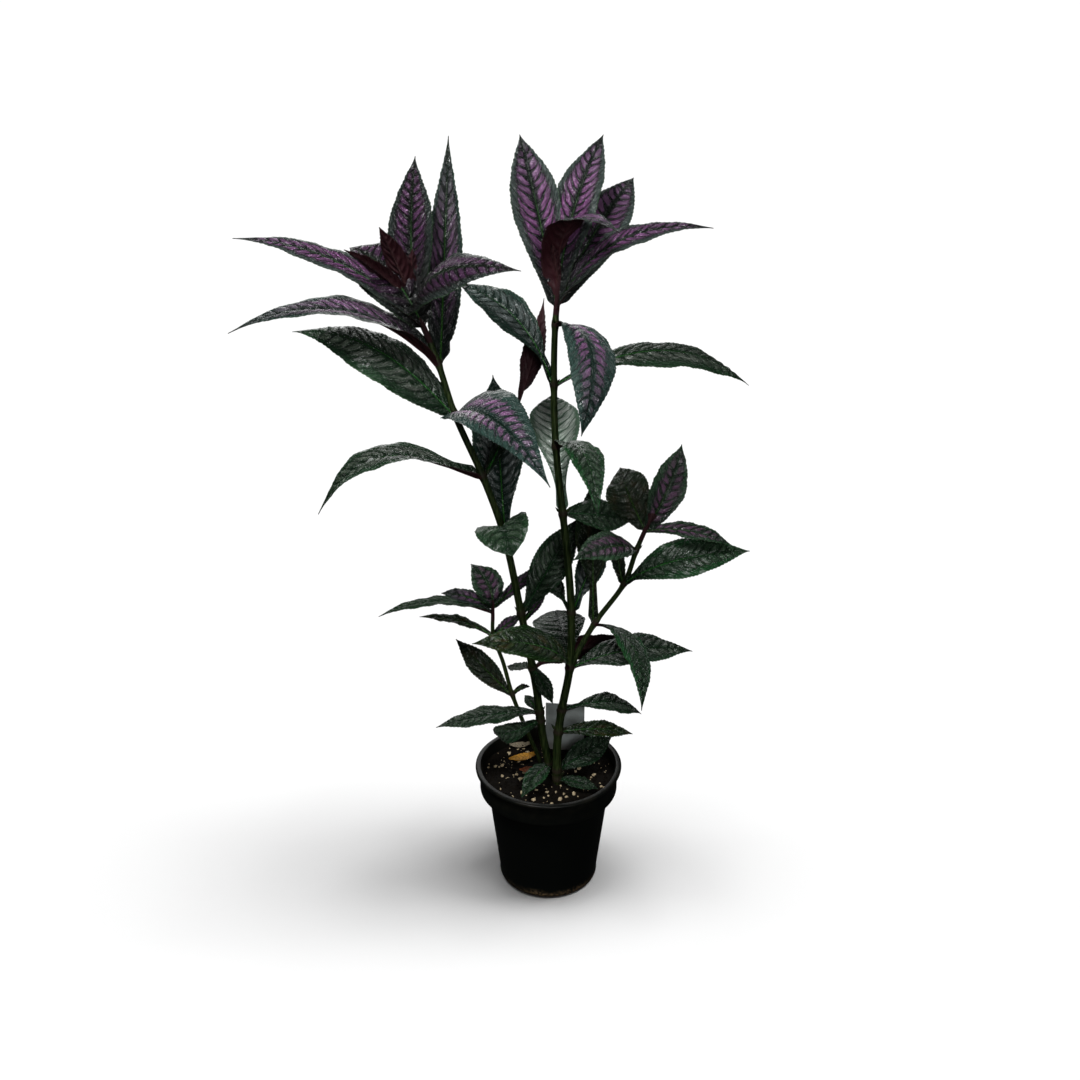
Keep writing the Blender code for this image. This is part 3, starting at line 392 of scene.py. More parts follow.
def rings_surface(rings, marks=None):
    """A closed body through rings of points, with a pole in the middle of its first and last ring."""
    count, around = rings.shape[:2]
    index = np.arange(count * around).reshape(count, around)
    wrapped = np.concatenate([index, index[:, :1]], axis=1)
    poles = np.array([rings[0].mean(axis=0), rings[-1].mean(axis=0)])
    first, last = index.size, index.size + 1
    low = np.stack([np.full(around, first), wrapped[0, 1:], wrapped[0, :-1]], axis=-1)
    high = np.stack([wrapped[-1, :-1], wrapped[-1, 1:], np.full(around, last)], axis=-1)
    full = {}
    for key, value in (marks or {}).items():
        ends = [value[0].mean(axis=0), value[-1].mean(axis=0)]
        full[key] = np.concatenate([value.reshape(-1, 3), ends])
    points = np.concatenate([rings.reshape(-1, 3), poles])
    return Surface(points, grid_quads(wrapped), np.concatenate([low, high]), marks=full)


def unit(vector):
    """A vector, or each of many, divided by its length."""
    return vector / np.linalg.norm(vector, axis=-1, keepdims=True)


def circle(steps):
    """Angles of even steps round a full turn."""
    return np.arange(steps) / steps * TAU


def spokes(angles, right, back, squash=1.0):
    """Directions round a line: each angle's cosine to the right and its sine, squashed, to the back."""
    angles = angles[None, :, None]
    return np.cos(angles) * right + squash * np.sin(angles) * back


def facing(grid):
    """Directions out of a grid of points: its step along a row crossed with its step to the next row."""
    return unit(np.cross(np.gradient(grid, axis=1), np.gradient(grid, axis=0)))


def marked(first, second, third):
    """A mark of three values for each point, each value spread over the whole grid."""
    return np.stack(np.broadcast_arrays(first, second, third), axis=-1)


def turned(profile, steps):
    """Rings of a (radius, height) profile, each point turned about Z in a circle."""
    angles = circle(steps)
    profile = np.asarray(profile, float)
    radius, height = profile[:, :1], profile[:, 1:]
    return np.stack([radius * np.cos(angles), radius * np.sin(angles), height + 0 * angles], axis=-1)


def arc(centre, radius, start, end, count):
    """Points of an arc in the (radius, height) plane, angles in degrees."""
    angles = np.radians(np.linspace(start, end, count))
    return [(centre[0] + radius * math.cos(a), centre[1] + radius * math.sin(a)) for a in angles]


def smooth(value, low, high):
    """0 up to low, 1 from high, and a smooth S between them."""
    share = np.clip((value - low) / (high - low), 0, 1)
    return share * share * (3 - 2 * share)


def bumps(x, y, size, seed):
    """Rolling noise from -1 to 1: random heights on a square lattice, blended between its corners by an S."""
    table = np.random.default_rng(seed).uniform(-1, 1, (NOISE_LATTICE, NOISE_LATTICE))
    column, row = np.floor(x / size).astype(int), np.floor(y / size).astype(int)
    u, v = x / size - column, y / size - row
    u, v = u * u * (3 - 2 * u), v * v * (3 - 2 * v)
    left, right = column % NOISE_LATTICE, (column + 1) % NOISE_LATTICE
    near, far = row % NOISE_LATTICE, (row + 1) % NOISE_LATTICE
    low = table[left, near] * (1 - u) + table[right, near] * u
    high = table[left, far] * (1 - u) + table[right, far] * u
    return low * (1 - v) + high * v


def shape_mesh(name, make, **sizes):
    """A mesh of one of Blender's own shapes."""
    mesh = bpy.data.meshes.new(name)
    work = bmesh.new()
    make(work, **sizes)
    work.to_mesh(mesh)
    work.free()
    return mesh


def linked_object(name, data):
    """A new object in the scene."""
    thing = bpy.data.objects.new(name, data)
    bpy.context.scene.collection.objects.link(thing)
    return thing


def lumps(places, sizes, squash, rough, seed):
    """Small rough balls: one ball of faces, stretched and dented at random for each place."""
    mesh = shape_mesh("ball", bmesh.ops.create_icosphere, subdivisions=1, radius=0.5)
    ball, faces = np.empty(3 * len(mesh.vertices)), np.empty(len(mesh.loops), int)
    mesh.vertices.foreach_get("co", ball)
    mesh.loops.foreach_get("vertex_index", faces)
    bpy.data.meshes.remove(mesh)
    ball, faces = ball.reshape(-1, 3), faces.reshape(-1, 3)
    draw = np.random.default_rng(seed)
    count = len(places)
    stretch = draw.uniform(0.6, 1.2, (count, 1, 3)) * np.array([1, 1, squash])
    dents = 1 + rough * draw.uniform(-1, 1, (count, len(ball), 1))
    angle = draw.uniform(0, TAU, (count, 1))
    body = ball[None] * stretch * dents * np.asarray(sizes)[:, None, None]
    x = body[..., 0] * np.cos(angle) - body[..., 1] * np.sin(angle)
    y = body[..., 0] * np.sin(angle) + body[..., 1] * np.cos(angle)
    points = np.stack([x, y, body[..., 2]], axis=-1) + np.asarray(places)[:, None, :]
    steps = np.arange(count)[:, None, None] * len(ball)
    return Surface(points, [], (faces[None] + steps).reshape(-1, 3))


def new_piece(name, surface, materials, node):
    """A mesh object from a surface, smooth but for its sharp edges, riding on the pot's body."""
    mesh = bpy.data.meshes.new(name)
    corners = np.concatenate([surface.quads.ravel(), surface.triangles.ravel()])
    fours = np.arange(len(surface.quads)) * 4
    threes = len(surface.quads) * 4 + np.arange(len(surface.triangles)) * 3
    mesh.vertices.add(len(surface.points))
    mesh.vertices.foreach_set("co", surface.points.ravel())
    mesh.loops.add(len(corners))
    mesh.loops.foreach_set("vertex_index", corners)
    mesh.polygons.add(len(surface.slots))
    mesh.polygons.foreach_set("loop_start", np.concatenate([fours, threes]))
    for material in materials:
        mesh.materials.append(material)
    mesh.polygons.foreach_set("material_index", surface.slots)
    mesh.update(calc_edges=True)
    for key, values in surface.marks.items():
        mark = mesh.attributes.new(key, "FLOAT_VECTOR", "POINT")
        mark.data.foreach_set("vector", values.ravel())
    mesh.shade_smooth()
    mesh.set_sharp_from_angle(angle=math.radians(SHARP_ANGLE))
    piece = linked_object(name, mesh)
    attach(piece, "root")
    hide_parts(node)
    return piece


# Stems

def stem_point(stem, heights):
    """Middle of a stem at heights in metres: a cubic curve between each two points of its route."""
    route = np.array(stem.route, float) * MM
    levels = route[:, 2]
    rise = np.diff(route[:, :2], axis=0) / np.diff(levels)[:, None]
    tangents = np.vstack([rise[:1], (rise[1:] + rise[:-1]) / 2, rise[-1:]])
    index = np.clip(np.searchsorted(levels, heights) - 1, 0, len(levels) - 2)
    span = (levels[index + 1] - levels[index])[:, None]
    u = (heights - levels[index])[:, None] / span
    start = route[index, :2] * (2 * u**3 - 3 * u**2 + 1) + tangents[index] * span * (u**3 - 2 * u**2 + u)
    end = route[index + 1, :2] * (3 * u**2 - 2 * u**3) + tangents[index + 1] * span * (u**3 - u**2)
    return np.column_stack([start + end, heights])


def joint_distance(stem, heights):
    """Distance in metres from each height to the nearest joint, below it negative."""
    gaps = heights[:, None] - np.array(stem.joints) * MM
    return gaps[np.arange(len(heights)), np.abs(gaps).argmin(axis=1)]


def stem_radius(stem, heights, swell=0.0):
    """An even taper, with a bell-shaped swelling and a narrow scar at each joint."""
    low, high = stem.route[0][2] * MM, stem.route[-1][2] * MM
    share = np.clip((heights - low) / (high - low), 0, 1)
    radius = (stem.foot_radius + (stem.top_radius - stem.foot_radius) * share) * MM
    gap = joint_distance(stem, heights)
    bell = np.exp(-(gap / SWELLING) ** 2)
    scar = np.exp(-((gap - SCAR_HEIGHT) / SCAR) ** 2)
    return radius * (1 + swell * bell - 0.35 * swell * scar)


def stem_surface(stem, low, high, settings):
    """Rings round the stem's line: a cosine of four faint corners, one of fine ribs, and bevelled ends."""
    count = int((high - low) / settings.ring_step) + 2
    heights = np.linspace(low + STEM_BEVEL, high - STEM_BEVEL, count)
    heights = np.concatenate([[low], heights, [high]])
    middle = stem_point(stem, heights)
    forward = unit(np.gradient(middle, axis=0))
    right = unit(np.cross((0.0, 1.0, 0.0), forward))
    back = np.cross(forward, right)
    radius = stem_radius(stem, heights, settings.joint_swell)
    radius[[0, -1]] *= 0.6
    angles = circle(settings.around)
    section = 1 + CORNERS * np.cos(4 * angles)[None] + RIBS * np.cos(12 * angles + 1)[None]
    reach = radius[:, None] * section
    rings = middle[:, None] + reach[..., None] * spokes(angles, right[:, None], back[:, None])
    gap = joint_distance(stem, heights) / MM
    place = marked(np.cos(4 * angles)[None], heights[:, None], gap[:, None])
    return rings_surface(rings, {"stem_place": place})


def bud_surface(base, direction, length, width):
    """A pointed bud: rings whose radius is a power of a sine, fuller at the base."""
    share = np.linspace(0.02, 0.98, 9)[:, None]
    radius = width / 2 * np.sin(share * math.pi) ** 0.7 * (1.25 - share)
    forward = unit(np.asarray(direction, float))
    right = unit(np.cross(forward, (0.1, 1.0, 0.2)))
    back = np.cross(forward, right)
    middle = base + (share * length)[..., None] * forward
    rings = middle + radius[..., None] * spokes(circle(10), right, back, 0.6)
    return rings_surface(rings, {"stem_place": marked(0.0, rings[..., 2], 12 * share)})


def joint_buds(stem, seed):
    """Two small buds in the axils of each joint, on opposite sides and a quarter turn on at the next."""
    draw = np.random.default_rng(seed)
    buds = []
    for number, joint in enumerate(stem.joints):
        height = joint * MM + 0.001
        middle = stem_point(stem, np.array([height]))[0]
        radius = stem_radius(stem, np.array([height]))[0]
        for side in (0.0, math.pi):
            angle = number * math.pi / 2 + side + draw.uniform(-0.4, 0.4)
            out = np.array([math.cos(angle), math.sin(angle), 0.0])
            length = draw.uniform(*BUD_LENGTHS)
            foot = middle + out * radius * 0.7
            buds.append(bud_surface(foot, out + (0, 0, 1.3), length, length * BUD_WIDTH))
    return buds


# Leaves

def leaf_line(leaf, sunk):
    """Base point, chord to the tip, and the directions across and up from the blade."""
    stem = STEMS[leaf.stem]
    height = leaf.joint * MM
    low, middle, high = stem_point(stem, np.array([height - MM, height, height + MM]))
    along = unit(high - low)
    chord = np.array(leaf.tip, float) * MM - middle
    across = unit(np.cross(chord, unit(np.array(leaf.face, float))))
    up = unit(np.cross(across, chord))
    start = unit(chord / np.linalg.norm(chord) + 4 * leaf.bow * up)
    out = unit(start - along * (start @ along))
    base = middle
    if not sunk:
        base = middle + out * stem_radius(stem, np.array([height]))[0] * 0.8
    return base, np.array(leaf.tip, float) * MM - base, across, up


def leaf_outline(leaf, t):
    """Half width along the leaf, and how full the blade is there, from 0 to 1.

    The blade rises by one power and falls by another, with its peak at 1, and is
    pinched into a drip tip. Narrow wings run down both sides of its foot.
    """
    u = np.clip((t - leaf.neck) / (1 - leaf.neck), 0, 1)
    widest = leaf.foot / (leaf.foot + leaf.point)
    blade = (u / widest) ** leaf.foot * ((1 - u) / (1 - widest)) ** leaf.point
    blade = blade * (1 - u) / (1 - u + DRIP) * (1 + DRIP)
    start = smooth(t, 0.0, 0.06)
    wing = min(leaf.wing, leaf.width / 4) * MM
    narrow = (STALK_HALF_WIDTH * (1 - start) + wing * start) * (1 - t) ** 1.5 + TIP_HALF_WIDTH
    return narrow + np.clip(leaf.width * MM / 2 - narrow, 0, None) * blade, blade


def leaf_rib(leaf, t, sunk):
    """Midrib, the directions across and out of the blade, and the half width, at each t.

    The midrib is the chord plus a parabola whose top can lie nearer the tip, and the
    blade turns evenly about it from its foot to its tip.
    """
    base, chord, across, up = leaf_line(leaf, sunk)
    length = np.linalg.norm(chord)
    skewed = t**leaf.skew
    arch = 4 * skewed * (1 - skewed)
    rib = base + t[:, None] * chord + (leaf.bow * length * arch)[:, None] * up
    tangent = unit(np.gradient(rib, axis=0))
    normal = np.cross(across, tangent)
    turn = (math.radians(leaf.twist) * t)[:, None]
    turned_across = across * np.cos(turn) + normal * np.sin(turn)
    turned_normal = normal * np.cos(turn) - across * np.sin(turn)
    return rib, turned_across, turned_normal, leaf_outline(leaf, t)[0]


def vein_count(t, spread, side, length, seed):
    """Counts the side veins along the blade, so that a vein lies at each whole number.

    The count grows evenly along the blade. A vein leaves the midrib at a wide angle and
    curves towards the tip by the square of its spread. It sways by two sines and has
    small crooks of noise, and the two halves' veins are staggered.
    """
    total = np.clip(length / VEIN_SPACING, *VEIN_COUNTS)
    sway = 0.18 * np.sin(7 * t + seed) + 0.08 * np.sin(19 * t + 2 * seed + side)
    crook = 0.20 * bumps(t * length, 0.012 * spread * side, 0.006, seed)
    stagger = np.where(side < 0, 0.0, 0.42)
    return total * (t - VEIN_SLANT * spread - VEIN_CURVE * spread**2) + sway + crook + stagger + 20


def leaf_surface(leaf, settings, sunk=False):
    """A blade as two close grids of points.

    The midrib is the chord plus a parabolic bow. Across it the halves rise in a V that
    is deeper at the foot, each half is arched, and the edge waves up and down in long
    and short sines. Between its side veins the blade is puffed up by a power of a sine,
    so that each vein lies in a valley, and noise of two sizes dents it. The edge steps
    out in a saw of forward teeth. The lower grid lies one thickness below, more under
    the stalk and the midrib.
    """
    length = np.linalg.norm(leaf_line(leaf, sunk)[1])
    rows = int(np.clip(length / settings.row_step, *LEAF_ROWS))
    half_columns = 13 if leaf.width > 20 else 8
    outward = np.linspace(0, 1, half_columns + 1) ** 1.25
    s = np.concatenate([-outward[:0:-1], outward])[None, :]
    t = np.linspace(0, 1, rows + 1)
    rib, across, normal, half = leaf_rib(leaf, t, sunk)
    blade = leaf_outline(leaf, t)[1]
    seed = sum(map(ord, leaf.name + leaf.stem)) % 97
    t, half, blade = t[:, None], half[:, None], blade[:, None]
    side = np.abs(s)
    spread = side * half / half.max()
    veins = vein_count(t, spread, s, length, seed)
    full = smooth(blade, 0.02, 0.35)
    puff = np.abs(np.sin(math.pi * veins)) ** 0.8 - 0.5
    reach = smooth(side, 0.04, 0.18) * (1 - smooth(side, 0.70, 1.0)) * full
    off_rib = side * half
    groove = np.exp(-(off_rib / GROOVE_WIDTH) ** 2) * full
    large, small = (bumps(t * length, half * s, size, seed + number) for number, size in enumerate(DENTS))
    crinkle = large + 0.6 * small
    relief = (settings.quilting * puff + settings.crinkle * crinkle) * reach - settings.midrib_depth * groove
    teeth = (t * rows / ROWS_PER_TOOTH) % 1.0
    step = settings.tooth_depth * (teeth - 0.5) * side**10 * smooth(blade, 0.05, 0.3)
    phase = np.where(s < 0, 0.0, HALF_PHASE) + leaf.joint
    fold = leaf.fold + leaf.channel * (1 - t) ** 4
    lift = half * (fold * side - ARCH * side**2)
    lift = lift + leaf.wave * MM * blade * side**2 * np.sin(TAU * WAVES * t + phase)
    lift = lift + settings.ruffle * blade * side**3 * np.sin(TAU * RUFFLES * t + 3 * s + seed)
    reach_out = (half + step) * s
    top = rib[:, None] + reach_out[..., None] * across[:, None] + (lift + relief)[..., None] * normal[:, None]
    stalk = np.clip(1 - t / 0.2, 0, 1) * (0.0 if sunk else 1.0)
    ridge = np.exp(-(off_rib / RIDGE_WIDTH) ** 2) * (1 - t) ** 0.7
    thickness = settings.thickness * (1 - 0.5 * side**4) + settings.midrib_ridge * ridge
    thickness = np.maximum(thickness, STALK_THICKNESS * stalk * (1 - 0.6 * side**2))
    half_seed = seed + np.where(s < 0, 0.0, 31.0)
    marks = {"vein_place": marked(veins, spread, t), "blade_place": marked(side, off_rib / MM, half_seed)}
    return shell(top, top - facing(top) * thickness[..., None], marks)


def fallen_surface(middle, turn, length, width, cup):
    """A small dry leaf: its width a power of a cosine, cupped up at its ends and edges, crumpled by noise."""
    over = np.linspace(-1, 1, 15)[:, None]
    along = np.linspace(-1, 1, 33)[None, :]
    half = width * MM / 2 * (0.10 + 0.90 * np.cos(along * math.pi / 2) ** 0.8)
    x, y = along * length * MM / 2 + 0 * over, over * half
    creases = CREASE_HEIGHT * bumps(x, y, CREASE_SIZE, 5)
    z = cup * length * MM * (along**2 + over**2) / 2 + creases + DRY_LIFT
    angle = math.radians(turn)
    across = x * math.cos(angle) - y * math.sin(angle) + middle[0] * MM
    away = x * math.sin(angle) + y * math.cos(angle) + middle[1] * MM
    top = np.stack([across, away, z + SOIL_TOP], axis=-1)
    side = np.abs(over)
    marks = {"vein_place": marked(along * 4 + side + 20, side, along / 2 + 0.5),
             "blade_place": marked(side + 0 * along, side * width / 2, float(length))}
    return shell(top, top - facing(top) * DRY_THICKNESS, marks)


# Shader trees

class Graph:
    """Adds nodes to a tree; each input takes a plain value or another node's output."""

    def __init__(self, tree, material=None):
        self.tree = tree
        self.material = material

    def add(self, kind, values=None, **settings):
        """A node of one kind with its settings and inputs."""
        node = self.tree.nodes.new(kind if kind.startswith("NodeGroup") else "ShaderNode" + kind)
        for name, value in settings.items():
            setattr(node, name, value)
        for socket, value in (values or {}).items():
            self.feed(node.inputs[socket], value)
        return node

    def feed(self, socket, value):
        """Links an output to an input, or sets the input's own value."""
        if isinstance(value, bpy.types.NodeSocket):
            self.tree.links.new(value, socket)
        elif socket.type == "RGBA":
            socket.default_value = (*value[:3], 1.0)
        else:
            socket.default_value = value

    def math(self, operation, first, second=0.0):
        return self.add("Math", {0: first, 1: second}, operation=operation).outputs[0]

    def plus(self, first, second):
        return self.math("ADD", first, second)

    def minus(self, first, second):
        return self.math("SUBTRACT", first, second)

    def product(self, *values):
        result = values[0]
        for value in values[1:]:
            result = self.math("MULTIPLY", result, value)
        return result

    def rise(self, value, low, high):
        """0 up to low, 1 from high, and a smooth S between them."""
        values = {0: value, 1: low, 2: high, 3: 0.0, 4: 1.0}
        return self.add("MapRange", values, interpolation_type="SMOOTHSTEP").outputs[0]

    def fall(self, value, low, high):
        """1 up to low, 0 from high, and a smooth S between them."""
        return self.minus(1.0, self.rise(value, low, high))

    def scaled(self, value, low, high):
        """A mask from 0 to 1 stretched to run from low to high."""
        return self.add("MapRange", {0: value, 1: 0.0, 2: 1.0, 3: low, 4: high}).outputs[0]

    def nudged(self, value, mask, amount):
        """A value pushed up and down by a mask around its middle."""
        return self.plus(value, self.scaled(mask, -amount / 2, amount / 2))

    def mix(self, share, first, second, blend="MIX"):
        """Two colours, with a share of the second."""
        values = {0: share, 6: first, 7: second}
        return self.add("Mix", values, data_type="RGBA", blend_type=blend).outputs[2]

    def noise(self, place, scale=1.0, detail=2.0, roughness=0.5):
        values = {"Vector": place, "Scale": scale, "Detail": detail, "Roughness": roughness}
        return self.add("TexNoise", values).outputs[0]

    def parts(self, vector):
        return self.add("SeparateXYZ", {0: vector}).outputs

    def vector(self, x, y, z):
        return self.add("CombineXYZ", {0: x, 1: y, 2: z}).outputs[0]

    def attribute(self, name):
        """The three values of a mark."""
        return self.parts(self.add("Attribute", attribute_name=name).outputs["Vector"])

    def place(self):
        return self.add("TexCoord").outputs["Object"]

    def drawn(self, place, scale):
        """A place with each direction scaled, so that a pattern there is drawn out along the smallest."""
        return self.add("Mapping", {"Vector": place, "Scale": scale}).outputs[0]

    def bump(self, height, distance):
        return self.add("Bump", {"Height": height, "Distance": distance}).outputs[0]

    def surface(self, **values):
        """Feeds the surface shader, its inputs named with underscores, and gives the material."""
        node = self.tree.nodes["Principled BSDF"]
        for name, value in values.items():
            self.feed(node.inputs[name.replace("_", " ").title().replace("Ior", "IOR")], value)
        return self.material


def new_material(name):
    """The graph of a new material."""
    material = bpy.data.materials.new(name)
    material.use_nodes = True
    return Graph(material.node_tree, material)


def new_group(name, inputs, outputs):
    """The graph of an empty node group, and its inputs and outputs by name."""
    tree = bpy.data.node_groups.new(name, "ShaderNodeTree")
    for label, value in inputs.items():
        socket = tree.interface.new_socket(label, in_out="INPUT", socket_type="NodeSocketFloat")
        socket.default_value = value
    for label in outputs:
        tree.interface.new_socket(label, in_out="OUTPUT", socket_type="NodeSocketFloat")
    graph = Graph(tree)
    return graph, graph.add("NodeGroupInput").outputs, graph.add("NodeGroupOutput").inputs


def leaf_pattern():
    """Masks of a blade, read from its marks.

    A panel fills the space between two side veins, from beside the midrib out to the
    margin, in feathery strokes along the veins, and meets its neighbours there. Ragged
    breaks up its outer end, and Bare takes whole stretches of it away. Panels start only
    past Panel Foot, which is partly the leaf's pattern and partly painted shade on the
    foot. Margin is the blade past the panels, but for its foot, which keeps the darker
    blade colour as painted shade, and Rim is its very edge. Net is the raised mesh of
    small veins.
    """
    if "leaf_pattern" in bpy.data.node_groups:
        return bpy.data.node_groups["leaf_pattern"]
    inputs = {"Panel From": 0.10, "Panel To": 0.70, "Panel Foot": 0.3, "Vein Width": 0.07,
              "Feather": 0.5, "Ragged": 0.35, "Bare": 0.0}
    outputs = ("Panel", "Vein", "Midrib", "Margin", "Rim", "Patch", "Tone", "Net")
    graph, given, made = new_group("leaf_pattern", inputs, outputs)
    veins, spread, along = graph.attribute("vein_place")
    edge, off_rib, seed = graph.attribute("blade_place")

    def flecks(first, first_scale, second, second_scale, detail=2.0):
        """Noise over two values of the blade, each with its own scale, and different on each half leaf."""
        place = graph.vector(graph.product(first, first_scale), graph.product(second, second_scale), seed)
        return graph.noise(place, detail=detail)

    off_vein = graph.math("PINGPONG", veins, 0.5)
    strokes = flecks(veins, 9.0, spread, 3.0, 3.0)
    ragged = flecks(veins, 2.6, spread, 7.0)
    width = graph.product(given["Vein Width"], graph.scaled(edge, 2.4, 0.4))
    gap = graph.product(given["Vein Width"], graph.scaled(edge, 3.2, -1.8))
    between = graph.rise(graph.nudged(off_vein, strokes, 0.20), gap, graph.plus(gap, 0.18))
    start, end, foot = given["Panel From"], given["Panel To"], given["Panel Foot"]
    inner = graph.rise(graph.nudged(edge, strokes, 0.10), start, graph.plus(start, 0.16))
    ragged_edge = graph.plus(edge, graph.product(graph.minus(ragged, 0.5), given["Ragged"]))
    outer = graph.fall(ragged_edge, graph.minus(end, 0.22), end)
    # Panels start past Panel Foot: partly the leaf's pattern, partly painted shade on the foot
    grown = graph.rise(graph.nudged(along, ragged, 0.12), graph.product(foot, 0.25), foot)
    ends = graph.product(grown, graph.fall(graph.nudged(along, ragged, 0.10), 0.80, 0.96))
    thin = graph.product(given["Feather"], graph.fall(strokes, 0.38, 0.62))
    bare = graph.product(given["Bare"], graph.fall(flecks(veins, 0.9, edge, 3.5, 3.0), 0.40, 0.60))
    present = graph.product(graph.minus(1.0, thin), graph.minus(1.0, bare))
    vein = graph.fall(off_vein, graph.product(width, 0.4), graph.product(width, 1.8))
    outside = graph.rise(ragged_edge, graph.minus(end, 0.06), graph.plus(end, 0.10))
    tone = graph.add("TexWhiteNoise", {"W": seed}, noise_dimensions="1D").outputs["Value"]
    slow = flecks(along, 2.5, edge, 1.2)
    cells = graph.vector(graph.product(veins, 5.0), graph.product(spread, 16.0), seed)
    net = graph.add("TexVoronoi", {"Vector": cells, "Scale": 1.0}, feature="DISTANCE_TO_EDGE")
    mesh = graph.rise(net.outputs["Distance"], 0.0, 0.22)
    raised = graph.plus(mesh, graph.product(graph.rise(off_vein, 0.0, 0.3), 1.4))
    masks = {
        "Panel": graph.product(between, inner, outer, ends, present),
        "Vein": graph.product(vein, graph.fall(edge, 0.75, 0.96)),
        "Midrib": graph.fall(graph.plus(off_rib, graph.product(along, 0.7)), 0.45, 1.15),
        # Margin colour is kept off the foot, which stays dark as painted shade
        "Margin": graph.product(outside, graph.rise(along, 0.10, 0.50)),
        "Rim": graph.rise(graph.nudged(edge, strokes, 0.04), 0.92, 1.0),
        "Patch": graph.rise(flecks(along, 6.0, edge, 2.0, 3.0), 0.50, 0.66),
        "Tone": graph.plus(graph.scaled(tone, 0.80, 1.10), graph.scaled(slow, -0.35, 0.35)),
        "Net": graph.plus(raised, graph.scaled(strokes, 0.0, 0.8)),
    }
    for name, mask in masks.items():
        graph.feed(made[name], mask)
    return graph.tree


def pattern_outputs(graph, values):
    """Places the leaf pattern in a material and gives its outputs."""
    group = graph.add("Group", node_tree=leaf_pattern())
    for name, value in values.items():
        graph.feed(group.inputs[name], value)
    return group.outputs


def blade_material(name, look, settings):
    """Upper skin: veins, margin and rim in greens, and panels in the look's colours with a metallic shine."""
    graph = new_material(name)
    values = {"Panel From": 0.08, "Panel To": look.reach, "Panel Foot": look.foot, "Vein Width": look.vein,
              "Feather": 0.60, "Ragged": look.ragged, "Bare": look.bare}
    mask = pattern_outputs(graph, values)
    along = graph.attribute("vein_place")[2]
    panel_colour = graph.mix(graph.rise(along, 0.45, 0.95), look.panel, look.tip)
    colour = graph.mix(mask["Margin"], look.blade, look.margin)
    shown = graph.product(mask["Panel"], look.amount)
    colour = graph.mix(shown, colour, panel_colour)
    dark = tuple(0.45 * channel for channel in look.blade)
    colour = graph.mix(graph.product(mask["Vein"], 0.80), colour, dark)
    if look.patch:
        brown = graph.product(mask["Patch"], look.patch)
        colour = graph.mix(brown, colour, settings.withered)
    colour = graph.mix(graph.product(mask["Rim"], 0.35), colour, look.midrib)
    rib = graph.product(mask["Midrib"], graph.scaled(graph.fall(along, 0.30, 0.90), 0.15, 1.0))
    colour = graph.mix(rib, colour, look.midrib)
    tone = graph.add("CombineColor", {0: mask["Tone"], 1: mask["Tone"], 2: mask["Tone"]}).outputs[0]
    colour = graph.mix(1.0, colour, tone, "MULTIPLY")
    rough = graph.scaled(mask["Net"], settings.roughness + 0.10, settings.roughness - 0.03)
    rough = graph.minus(rough, graph.product(shown, 0.04))
    return graph.surface(base_color=colour, roughness=rough, metallic=graph.product(shown, look.metal),
                         specular_ior_level=0.50, coat_weight=look.coat, coat_roughness=0.22,
                         normal=graph.bump(mask["Net"], 0.0008))


def underside_material(settings):
    """Lower skin: dull maroon with a paler midrib and edge, brownish blotches and raised veins."""
    graph = new_material("leaf_underside")
    mask = pattern_outputs(graph, {"Vein Width": 0.09})
    lines = graph.math("MAXIMUM", graph.product(mask["Vein"], 0.2), mask["Midrib"])
    colour = graph.mix(lines, settings.underside, settings.underside_rib)
    edge = graph.attribute("blade_place")[0]
    colour = graph.mix(graph.product(graph.rise(edge, 0.80, 1.0), 0.35), colour, settings.underside_edge)
    colour = graph.mix(graph.product(mask["Patch"], 0.35), colour, settings.underside_edge)
    height = graph.minus(graph.product(lines, 1.5), graph.product(mask["Net"], 0.5))
    return graph.surface(base_color=colour, roughness=graph.scaled(mask["Patch"], 0.62, 0.50),
                         specular_ior_level=0.25, normal=graph.bump(height, 0.0003))


def dry_material(name, colour):
    """A dropped leaf: its own colour with darker veins and brown blotches."""
    graph = new_material(name)
    mask = pattern_outputs(graph, {"Vein Width": 0.10})
    dark = tuple(0.35 * channel for channel in colour)
    shade = graph.mix(graph.product(mask["Vein"], 0.5), colour, dark)
    shade = graph.mix(graph.product(mask["Patch"], 0.7), shade, dark)
    return graph.surface(base_color=shade, roughness=0.75, normal=graph.bump(mask["Net"], 0.0003))


def stem_material(settings):
    """Green skin: light fibres, pale corners, dark bands at the joints, brown patches and a brown foot."""
    graph = new_material("stem_skin")
    corner, height, off_joint = graph.attribute("stem_place")
    place = graph.place()
    fibres = graph.noise(graph.drawn(place, (1.0, 1.0, 0.06)), 900.0, 3.0)
    patches = graph.noise(place, 90.0, 3.0)
    colour = graph.mix(graph.rise(fibres, 0.4, 0.7), settings.skin, settings.skin_light)
    colour = graph.mix(graph.product(graph.rise(corner, 0.5, 1.0), 0.45), colour, settings.skin_light)
    foot = graph.fall(graph.nudged(height, patches, 0.08), 0.06, 0.16)
    colour = graph.mix(graph.product(foot, 0.75), colour, settings.bark)
    near = graph.fall(graph.math("ABSOLUTE", graph.minus(off_joint, 1.0)), 0.5, 5.0)
    colour = graph.mix(graph.product(near, 0.8), colour, settings.joint_colour)
    colour = graph.mix(graph.product(graph.rise(patches, 0.55, 0.75), 0.25), colour, settings.bark)
    relief = graph.plus(fibres, graph.product(patches, 0.6))
    return graph.surface(base_color=colour, roughness=graph.scaled(fibres, 0.42, 0.62),
                         specular_ior_level=0.15, normal=graph.bump(relief, 0.0004))


